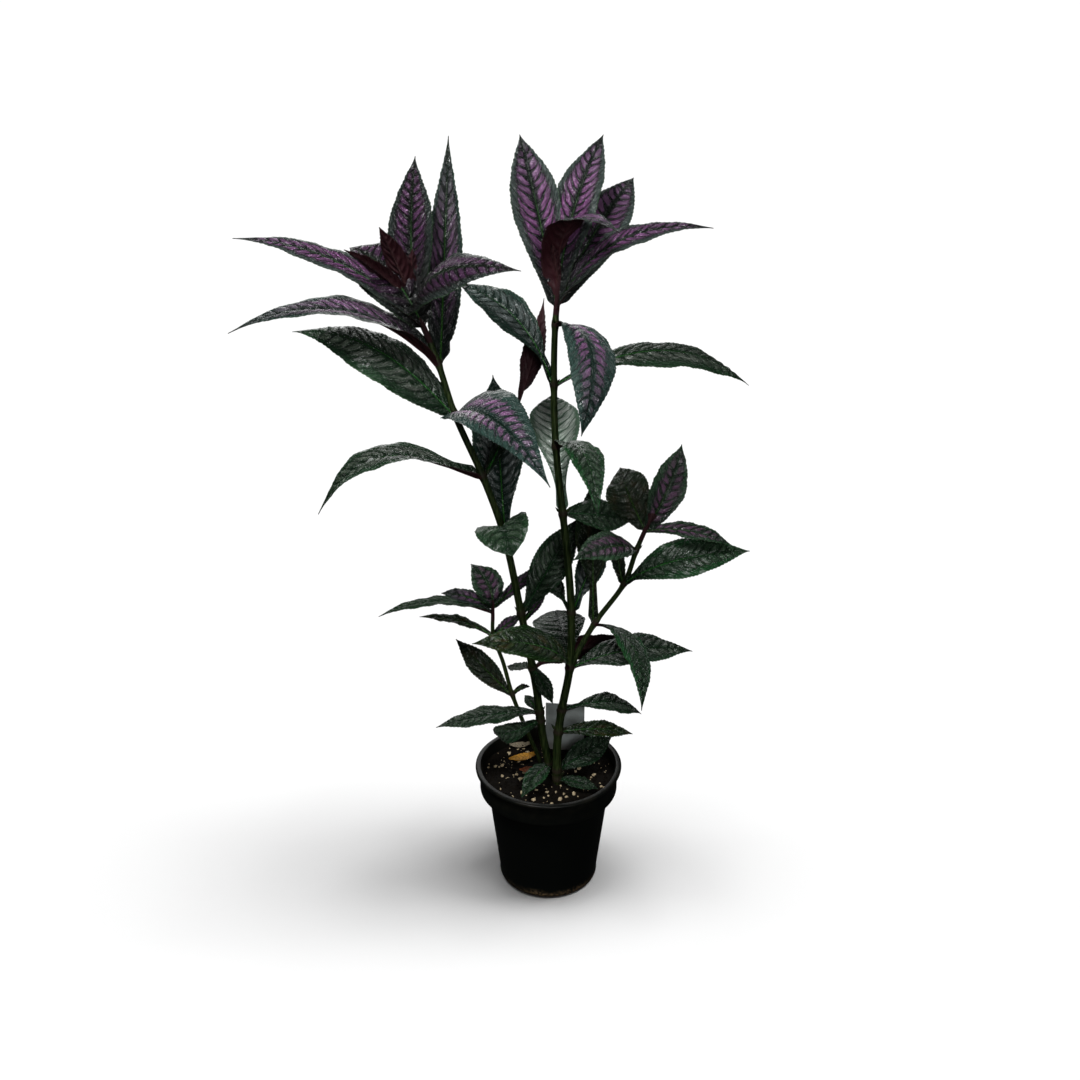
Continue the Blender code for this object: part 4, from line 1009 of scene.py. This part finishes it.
def pot_material(settings):
    """Black moulded plastic: faint streaks, a film of dust on the collar, and dried soil round the foot."""
    graph = new_material("pot_plastic_worn")
    place = graph.place()
    x, y, z = graph.parts(place)
    streaks = graph.noise(graph.drawn(place, (1.0, 1.0, 0.12)), 260.0, 3.0)
    grain = graph.noise(place, 1500.0, 2.0)
    cloud = graph.noise(place, 45.0, 4.0, 0.6)
    dust = graph.product(graph.rise(z, 0.100, 0.134), graph.rise(cloud, 0.35, 0.75))
    colour = graph.mix(graph.product(dust, 0.5), settings.plastic, settings.film)
    speckle = graph.noise(place, 420.0, 4.0, 0.7)
    low = graph.fall(graph.nudged(z, cloud, 0.016), 0.002, 0.012)
    splash = graph.product(low, graph.rise(speckle, 0.42, 0.60))
    sided = graph.rise(graph.minus(x, y), 0.010, 0.060)
    splash = graph.product(splash, graph.scaled(sided, 0.25, 1.0))
    colour = graph.mix(splash, colour, settings.dried_soil)
    lip = graph.rise(z, 0.1335, 0.1362)
    rough = graph.plus(graph.scaled(streaks, 0.36, 0.52), graph.scaled(splash, 0.0, 0.35))
    rough = graph.minus(rough, graph.product(lip, 0.10))
    height = graph.plus(graph.product(grain, 0.4), graph.product(streaks, 0.5))
    height = graph.plus(height, graph.product(splash, 2.0))
    return graph.surface(base_color=colour, roughness=rough, specular_ior_level=0.08,
                         normal=graph.bump(height, 0.00012))


def soil_material(name, dark, light, scale):
    """Earth or grains: two colours mixed by fine noise, with a gritty bump."""
    graph = new_material(name)
    place = graph.place()
    coarse = graph.noise(place, scale, 5.0, 0.65)
    fine = graph.noise(place, scale * 5, 3.0, 0.6)
    shade = graph.plus(graph.product(coarse, 0.65), graph.product(fine, 0.35))
    colour = graph.mix(graph.rise(shade, 0.38, 0.64), dark, light)
    return graph.surface(base_color=colour, roughness=0.92, specular_ior_level=0.08,
                         normal=graph.bump(shade, 0.0012))


def label_material(settings):
    """Blank pale plastic, dusty, with a soil stain near the ground."""
    graph = new_material("label_plate")
    place = graph.place()
    height = graph.parts(place)[2]
    cloud = graph.noise(place, 60.0, 4.0, 0.6)
    scratches = graph.noise(graph.drawn(place, (0.15, 1.0, 1.0)), 1200.0, 2.0)
    colour = graph.mix(graph.rise(cloud, 0.35, 0.7), settings.plate, settings.plate_dust)
    stain = graph.fall(graph.nudged(height, cloud, 0.02), 0.126, 0.140)
    colour = graph.mix(graph.product(stain, 0.7), colour, settings.soil_stain)
    return graph.surface(base_color=colour, roughness=graph.scaled(scratches, 0.38, 0.58),
                         normal=graph.bump(scratches, 0.00005))


def floor_material(settings):
    """Matt white paper with a very faint cloud in it."""
    graph = new_material("floor_paper")
    cloud = graph.noise(graph.place(), 3.0, 3.0)
    colour = graph.mix(cloud, settings.floor, settings.floor_cloud)
    return graph.surface(base_color=colour, roughness=0.9, specular_ior_level=0.0)


# Settings

def colour_property(name, description, default):
    return FloatVectorProperty(name=name, description=description, default=default, size=3,
                               subtype="COLOR", min=0.0, max=1.0)


def length_property(name, description, default):
    return FloatProperty(name=name, description=description, default=default, min=0.0, subtype="DISTANCE",
                         unit="LENGTH", precision=5)


def share_property(name, description, default):
    return FloatProperty(name=name, description=description, default=default, min=0.0, max=1.0)


def power_property(name, description, default):
    return FloatProperty(name=name, description=description, default=default, min=0.0, unit="POWER")


def count_property(name, description, default, low, high):
    return IntProperty(name=name, description=description, default=default, min=low, max=high)


class LeafSettings(bpy.types.PropertyGroup):
    row_step: length_property("Row step", "Distance between the rows of points along a leaf", 0.0012)
    thickness: length_property("Thickness", "Thickness of the blade", 0.00055)
    quilting: length_property("Quilting", "How far the blade puffs up between its side veins", 0.0015)
    crinkle: length_property("Crinkle", "Height of the small random dents of the blade", 0.00030)
    midrib_depth: length_property("Midrib depth", "Depth of the groove along the midrib", 0.0007)
    midrib_ridge: length_property("Midrib ridge", "Extra thickness under the midrib", 0.0010)
    tooth_depth: length_property("Tooth depth", "How far the teeth of the edge step out", 0.0011)
    ruffle: length_property("Ruffle", "Height of the small waves of the edge", 0.0006)
    roughness: share_property("Roughness", "Roughness of the upper skin", 0.30)
    withered: colour_property("Withered", "Colour of brown patches", (0.10, 0.045, 0.012))
    underside: colour_property("Underside", "Colour of the lower skin", (0.020, 0.0020, 0.0045))
    underside_rib: colour_property("Underside ribs", "Colour of the ribs below", (0.032, 0.008, 0.009))
    underside_edge: colour_property("Underside edge", "Colour of the edge below", (0.022, 0.011, 0.011))


class StemSettings(bpy.types.PropertyGroup):
    ring_step: length_property("Ring step", "Distance between the rings of a stem", 0.0018)
    around: count_property("Around", "Points in each ring", 20, 8, 64)
    joint_swell: share_property("Joint swell", "How much a stem swells at a leaf joint", 0.32)
    skin: colour_property("Skin", "Colour of the stems", (0.0035, 0.0090, 0.0015))
    skin_light: colour_property("Light lines", "Colour of the lines along a stem", (0.024, 0.037, 0.009))
    bark: colour_property("Bark", "Colour of the brown foot of a stem", (0.018, 0.014, 0.005))
    joint_colour: colour_property("Joints", "Colour of the joints", (0.016, 0.010, 0.008))


class PotSettings(bpy.types.PropertyGroup):
    steps: count_property("Steps", "Steps round the pot", 160, 32, 360)
    lip_wave: length_property("Lip wave", "How far the thin lip is out of round and level", 0.0005)
    plastic: colour_property("Plastic", "Colour of the pot", (0.0022, 0.0028, 0.0024))
    film: colour_property("Dust", "Colour of the dust on the collar", (0.014, 0.012, 0.008))
    dried_soil: colour_property("Dried soil", "Colour of the soil dried on the foot", (0.160, 0.110, 0.060))
    plate: colour_property("Label", "Colour of the blank label", (0.300, 0.330, 0.325))
    plate_dust: colour_property("Label dust", "Colour of the dust on the label", (0.200, 0.220, 0.210))
    soil_stain: colour_property("Soil stain", "Colour of the stain on the label", (0.045, 0.032, 0.020))


class SoilSettings(bpy.types.PropertyGroup):
    crumbs: count_property("Crumbs", "Number of loose crumbs", 520, 0, 1500)
    grains: count_property("Grains", "Number of pale perlite grains", 210, 0, 600)
    relief: length_property("Relief", "Height of the soil's lumps", 0.0022)
    earth: colour_property("Earth", "Colour of the soil's hollows", (0.0015, 0.0011, 0.0007))
    earth_light: colour_property("Dry earth", "Colour of its dry crumbs", (0.0045, 0.0030, 0.0015))
    perlite: colour_property("Perlite", "Colour of the grains", (0.560, 0.470, 0.310))
    perlite_dull: colour_property("Dull perlite", "Colour of the stain on the grains", (0.260, 0.195, 0.115))


class StageSettings(bpy.types.PropertyGroup):
    camera_place: FloatVectorProperty(name="Camera", description="Where the camera stands",
                                      default=(-0.009, -1.25, 0.973), size=3, subtype="TRANSLATION")
    camera_pitch: FloatProperty(name="Pitch", description="How far the camera looks down",
                                default=math.radians(24.76), subtype="ANGLE")
    lens: FloatProperty(name="Lens", description="Focal length in millimetres", default=46.83, min=10.0,
                        unit="CAMERA")
    floor: colour_property("Floor", "Colour of the floor", (0.90, 0.90, 0.90))
    floor_cloud: colour_property("Floor cloud", "Second colour of the floor", (0.88, 0.88, 0.88))
    floor_light: FloatProperty(name="Floor light", description="Strength of the lights on the floor",
                               default=0.90, min=0.0)
    key_light: power_property("Key light", "Power of the main softbox", 27.0)
    fill_light: power_property("Fill light", "Power of the front softbox", 15.0)
    back_light: power_property("Back light", "Power of the softbox behind", 9.0)
    sky: share_property("Sky", "Strength of the dome of light from above", 0.08)


# Operators

def blade_materials(looks, settings):
    """The upper skins of these looks and, last, the shared lower skin."""
    skins = []
    for look in looks:
        name = "leaf_" + look
        skins.append(bpy.data.materials.get(name) or blade_material(name, LOOKS[look], settings))
    return skins + [bpy.data.materials.get("leaf_underside") or underside_material(settings)]


class PLANT_OT_leaves(bpy.types.Operator):
    """Build each full-grown leaf on its joint"""

    bl_idname = "plant.leaves"
    bl_label = "Leaves"

    def execute(self, context):
        settings = context.scene.plant_leaves
        for leaf in LEAVES:
            surface = leaf_surface(leaf, settings)
            new_piece("blade_" + leaf.name, surface, blade_materials([leaf.look], settings),
                      "leaf_" + leaf.name)
        return {"FINISHED"}


class PLANT_OT_shoots(bpy.types.Operator):
    """Build the rosette of young leaves at each growing tip"""

    bl_idname = "plant.shoots"
    bl_label = "Growing tips"

    def execute(self, context):
        settings = context.scene.plant_leaves
        for name, start in SHOOT_STARTS.items():
            young = [leaf for leaf in SHOOT_LEAVES if leaf.stem == name]
            looks = sorted({leaf.look for leaf in young})
            blades = []
            for leaf in young:
                blade = leaf_surface(leaf, settings, sunk=True)
                blade.slots = np.where(blade.slots == 0, looks.index(leaf.look), len(looks))
                blades.append(blade)
            stem = STEMS[name]
            tip = stem_surface(stem, start * MM - 0.002, stem.route[-1][2] * MM, context.scene.plant_stems)
            place = tip.marks.pop("stem_place")
            tip.marks["vein_place"] = place * (1.0, 0.0, 0.0) + (20.0, 0.5, 0.5)
            tip.marks["blade_place"] = place * 0.0 + (0.9, 5.0, 3.0)
            tip.slots = np.full(len(tip.slots), len(looks))
            new_piece("rosette_" + name, join(blades + [tip]), blade_materials(looks, settings),
                      "shoot_" + name)
        return {"FINISHED"}


class PLANT_OT_stems(bpy.types.Operator):
    """Build the jointed stems with their buds"""

    bl_idname = "plant.stems"
    bl_label = "Stems"

    def execute(self, context):
        settings = context.scene.plant_stems
        skin = stem_material(settings)
        for name in ROOTED:
            stem = STEMS[name]
            parts = [stem_surface(stem, STEM_BOTTOM, SHOOT_STARTS[name] * MM, settings)]
            parts += joint_buds(stem, len(name))
            if name == "right":
                arm = STEMS["branch"]
                parts.append(stem_surface(arm, arm.route[0][2] * MM, SHOOT_STARTS["branch"] * MM, settings))
                parts += joint_buds(arm, 11)
            new_piece("cane_" + name, join(parts), [skin], "stem_" + name)
        return {"FINISHED"}


class PLANT_OT_pot(bpy.types.Operator):
    """Build the pot with its rolled lip and drain holes"""

    bl_idname = "plant.pot"
    bl_label = "Pot"

    def execute(self, context):
        settings = context.scene.plant_pot
        rings = turned(self.profile(), settings.steps)
        angles = circle(settings.steps)
        near_lip = smooth(rings[..., 2], COLLAR_FOOT, POT_HEIGHT)
        sway = np.sin(2 * angles + 0.6) + 0.5 * np.sin(3 * angles + 2.0) + 0.25 * np.sin(7 * angles)
        rings[..., 2] += settings.lip_wave * 0.6 * sway * near_lip
        outward = settings.lip_wave / LIP_RADIUS * np.roll(sway, settings.steps // 8) * near_lip
        rings[..., :2] *= 1 + outward[..., None]
        pot = new_piece("nursery_pot", rings_surface(rings), [pot_material(settings)], "pot")
        self.drain(pot)
        return {"FINISHED"}

    @staticmethod
    def profile():
        """(radius, height) from the middle of the base out, up the wall, over the lip and down inside."""
        top, low = COLLAR_FOOT, COLLAR_FOOT - SHOULDER_HEIGHT
        lip, thin = LIP_HEIGHT / 2, POT_WALL
        corner = (BASE_RADIUS - BASE_ROUNDING, BASE_ROUNDING)
        outside = [(0.002, 0.0006), (0.02, 0.0006), (0.043, 0.0006), (0.0445, 0.0)]
        outside += arc(corner, BASE_ROUNDING, -88, 0, 8)
        outside += [*np.linspace((BASE_RADIUS, 0.012), (BODY_TOP_RADIUS - 0.0003, low - 0.001), 12)]
        outside += arc((BODY_TOP_RADIUS + 0.0012, low + 0.0002), 0.0014, 185, 110, 4)
        outside += arc((COLLAR_RADIUS - 0.0025, top + 0.0012), 0.0025, -70, 0, 6)
        collar_top = (COLLAR_RADIUS + 0.0004, POT_HEIGHT - LIP_HEIGHT)
        outside += [*np.linspace((COLLAR_RADIUS, top + 0.003), collar_top, 7)]
        outside += arc((LIP_RADIUS - lip * 0.8, POT_HEIGHT - lip), lip * 0.8, -80, 90, 10)
        inside = arc((COLLAR_RADIUS, POT_HEIGHT - lip * 0.7), lip * 0.5, 90, 170, 5)
        inside += [(COLLAR_RADIUS - thin, POT_HEIGHT - 2 * lip), (COLLAR_RADIUS - thin, top + thin)]
        inside += [(BODY_TOP_RADIUS - thin, low + thin), (BASE_RADIUS - thin, BASE_ROUNDING)]
        inside += arc(corner, BASE_ROUNDING - thin, -10, -90, 4)
        return outside + inside + [(0.02, thin), (0.002, thin)]

    @staticmethod
    def drain(pot):
        """Cuts a ring of round holes through the base."""
        cutters = []
        for number in range(DRAIN_HOLES):
            angle = TAU * number / DRAIN_HOLES
            rod = shape_mesh("drain_cutter", bmesh.ops.create_cone, cap_ends=True, segments=28,
                             radius1=DRAIN_RADIUS, radius2=DRAIN_RADIUS, depth=4 * POT_WALL)
            cutter = linked_object("drain_cutter", rod)
            cutter.location = (DRAIN_RING * math.cos(angle), DRAIN_RING * math.sin(angle), POT_WALL / 2)
            boolean = pot.modifiers.new("drain", "BOOLEAN")
            boolean.object = cutter
            cutters.append(cutter)
        bpy.context.view_layer.update()
        evaluated = pot.evaluated_get(bpy.context.evaluated_depsgraph_get())
        pot.data = bpy.data.meshes.new_from_object(evaluated)
        pot.modifiers.clear()
        for cutter in cutters:
            bpy.data.objects.remove(cutter)


class PLANT_OT_soil(bpy.types.Operator):
    """Build the lumpy soil with its crumbs and perlite"""

    bl_idname = "plant.soil"
    bl_label = "Soil"

    def execute(self, context):
        settings = context.scene.plant_soil
        wall = POT_WALL + 0.0002
        edge = COLLAR_RADIUS - wall
        profile = [(0.003, wall), (BASE_RADIUS - BASE_ROUNDING, wall), (BASE_RADIUS - wall, BASE_ROUNDING)]
        profile += [(BODY_TOP_RADIUS - wall, COLLAR_FOOT - SHOULDER_HEIGHT + wall)]
        profile += [(edge, COLLAR_FOOT + wall), (edge, SOIL_TOP - EDGE_DROP)]
        profile += [(radius, SOIL_TOP) for radius in np.linspace(edge, 0.001, 70)]
        rings = turned(profile, 200)
        on_top = smooth(rings[..., 2], SOIL_TOP - EDGE_DROP, SOIL_TOP)
        rings[..., 2] += on_top * (self.height(rings[..., 0], rings[..., 1], settings) - SOIL_TOP)
        soil = soil_material("soil_earth", settings.earth, settings.earth_light, 420.0)
        grit = soil_material("soil_crumb", settings.earth_light, settings.earth, 700.0)
        perlite = soil_material("soil_perlite", settings.perlite_dull, settings.perlite, 500.0)
        crumbs = self.scatter(settings.crumbs, CRUMB_SIZES, 0.7, 0.35, 21, settings)
        grains = self.scatter(settings.grains, GRAIN_SIZES, 0.8, 0.22, 8, settings)
        crumbs.slots[:] = 1
        grains.slots[:] = 2
        body = join([rings_surface(rings), crumbs, grains])
        new_piece("soil_bed", body, [soil, grit, perlite], "soil")
        return {"FINISHED"}

    @staticmethod
    def height(x, y, settings):
        """Level of the soil: noise of three sizes, a bell-shaped mound at each stem, a dip at the wall."""
        rough = sum(bumps(x, y, size, seed) * share for seed, (size, share) in enumerate(SOIL_LUMPS, 1))
        mound = 0.0
        for name in ROOTED:
            foot_x, foot_y = STEMS[name].route[1][0] * MM, STEMS[name].route[1][1] * MM
            mound = mound + MOUND_HEIGHT * np.exp(-((x - foot_x) ** 2 + (y - foot_y) ** 2) / MOUND_WIDTH**2)
        dip = DIP_DEPTH * smooth(np.hypot(x, y), *DIP_RING)
        return SOIL_TOP + settings.relief * rough + mound - dip

    def scatter(self, count, sizes, squash, rough, seed, settings):
        """Lumps spread evenly over the soil, small ones far more often than large ones."""
        draw = np.random.default_rng(seed)
        radius = SCATTER_RADIUS * np.sqrt(draw.uniform(0, 1, count))
        angle = draw.uniform(0, TAU, count)
        size = sizes[0] + (sizes[1] - sizes[0]) * draw.uniform(0, 1, count) ** 3
        x, y = radius * np.cos(angle), radius * np.sin(angle)
        z = self.height(x, y, settings) + LUMP_LIFT * size
        return lumps(np.column_stack([x, y, z]), size, squash, rough, seed + 1)


class PLANT_OT_fallen(bpy.types.Operator):
    """Build the dry leaves that lie on the soil"""

    bl_idname = "plant.fallen"
    bl_label = "Dropped leaves"

    def execute(self, context):
        for name, middle, turn, length, width, cup, colour in FALLEN:
            surface = fallen_surface(middle, turn, length, width, cup)
            surface.slots[:] = 0
            new_piece("dry_leaf_" + name, surface, [dry_material("dry_" + name, colour)],
                      "fallen_leaf_" + name)
        return {"FINISHED"}


class PLANT_OT_label(bpy.types.Operator):
    """Give the blank label its dusty plastic"""

    bl_idname = "plant.label"
    bl_label = "Label"

    def execute(self, context):
        skin = label_material(context.scene.plant_pot)
        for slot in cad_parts["plant_label"].material_slots:
            slot.link = "OBJECT"
            slot.material = skin
        return {"FINISHED"}


class PLANT_OT_stage(bpy.types.Operator):
    """Set up the floor, the lights and the camera"""

    bl_idname = "plant.stage"
    bl_label = "Stage"

    def execute(self, context):
        settings = context.scene.plant_stage
        floor = self.floor(settings)
        on_floor = self.linked("floor_only", floor, "INCLUDE")
        off_floor = self.linked("all_but_floor", floor, "EXCLUDE")
        for number, (x, y, share) in enumerate(FLOOR_SUNS):
            place = (x, y, FLOOR_SUN_HEIGHT)
            power = share * settings.floor_light
            sun = self.light(f"floor_sun_{number}", "SUN", power, place, (0.0, 0.0, 0.0), on_floor)
            sun.data.angle = math.radians(FLOOR_SUN_ANGLE)
        for name, (setting, place, target, size) in SOFTBOXES.items():
            softbox = self.light(name, "AREA", getattr(settings, setting), place, target, off_floor)
            softbox.data.size = size
        self.sky(context, settings)
        self.camera(context, settings)
        context.scene.view_settings.view_transform = "Standard"
        return {"FINISHED"}

    @staticmethod
    def floor(settings):
        """A wide flat floor that throws no light back onto the plant."""
        mesh = shape_mesh("floor", bmesh.ops.create_grid, x_segments=8, y_segments=8, size=FLOOR_HALF_WIDTH)
        mesh.materials.append(floor_material(settings))
        floor = linked_object("floor", mesh)
        floor.visible_diffuse = False
        floor.visible_glossy = False
        return floor

    @staticmethod
    def linked(name, thing, state):
        """A collection that tells a light whether to shine on one thing."""
        group = bpy.data.collections.new(name)
        group.objects.link(thing)
        group.collection_objects[0].light_linking.link_state = state
        return group

    @staticmethod
    def light(name, kind, power, place, target, receivers):
        """A lamp that shines from its place to its target, and on its receivers alone."""
        lamp = linked_object(name, bpy.data.lights.new(name, kind))
        lamp.data.energy = power
        lamp.location = place
        away = np.array(place) - np.array(target)
        flat = math.hypot(away[0], away[1])
        lamp.rotation_euler = (math.atan2(flat, away[2]), 0.0, math.atan2(away[1], away[0]) + math.pi / 2)
        lamp.light_linking.receiver_collection = receivers
        return lamp

    @staticmethod
    def sky(context, settings):
        """White where the camera sees past the floor, and for everything else a dome bright only above."""
        world = bpy.data.worlds.new("studio")
        world.use_nodes = True
        graph = Graph(world.node_tree)
        seen = graph.add("LightPath").outputs["Is Camera Ray"]
        background = world.node_tree.nodes["Background"]
        background.inputs["Color"].default_value = (1.0, 1.0, 1.0, 1.0)
        height = graph.parts(graph.add("TexCoord").outputs["Generated"])[2]
        dome = graph.scaled(graph.rise(height, -0.1, 0.7), 0.02, settings.sky)
        graph.feed(background.inputs["Strength"], graph.math("MAXIMUM", dome, seen))
        context.scene.world = world

    @staticmethod
    def camera(context, settings):
        """The camera, which looks along Y and down by its pitch."""
        camera = linked_object("camera", bpy.data.cameras.new("camera"))
        camera.data.lens = settings.lens
        camera.data.sensor_width = SENSOR_WIDTH
        camera.location = settings.camera_place
        camera.rotation_euler = (math.pi / 2 - settings.camera_pitch, 0.0, 0.0)
        context.scene.camera = camera


class PLANT_PT_panel(bpy.types.Panel):
    """The steps of the plant, in the 3D view's sidebar"""

    bl_label = "Persian Shield Plant"
    bl_idname = "PLANT_PT_panel"
    bl_space_type = "VIEW_3D"
    bl_region_type = "UI"
    bl_category = "Plant"

    def draw(self, context):
        for operator in OPERATORS:
            self.layout.operator(operator.bl_idname)


OPERATORS = (PLANT_OT_pot, PLANT_OT_soil, PLANT_OT_label, PLANT_OT_fallen, PLANT_OT_stems,
             PLANT_OT_leaves, PLANT_OT_shoots, PLANT_OT_stage)
SETTINGS = {"plant_leaves": LeafSettings, "plant_stems": StemSettings, "plant_pot": PotSettings,
            "plant_soil": SoilSettings, "plant_stage": StageSettings}


def register():
    """Registers the settings, the operators and the panel."""
    for thing in (*SETTINGS.values(), *OPERATORS, PLANT_PT_panel):
        bpy.utils.register_class(thing)
    for name, group in SETTINGS.items():
        setattr(bpy.types.Scene, name, PointerProperty(type=group))


def unregister():
    """Takes them away again."""
    for name in SETTINGS:
        delattr(bpy.types.Scene, name)
    for thing in (PLANT_PT_panel, *reversed(OPERATORS), *SETTINGS.values()):
        bpy.utils.unregister_class(thing)


def main():
    """Builds every piece in order."""
    register()
    bpy.ops.plant.pot()
    bpy.ops.plant.soil()
    bpy.ops.plant.label()
    bpy.ops.plant.fallen()
    bpy.ops.plant.stems()
    bpy.ops.plant.leaves()
    bpy.ops.plant.shoots()
    bpy.ops.plant.stage()


if __name__ == "__main__":
    main()
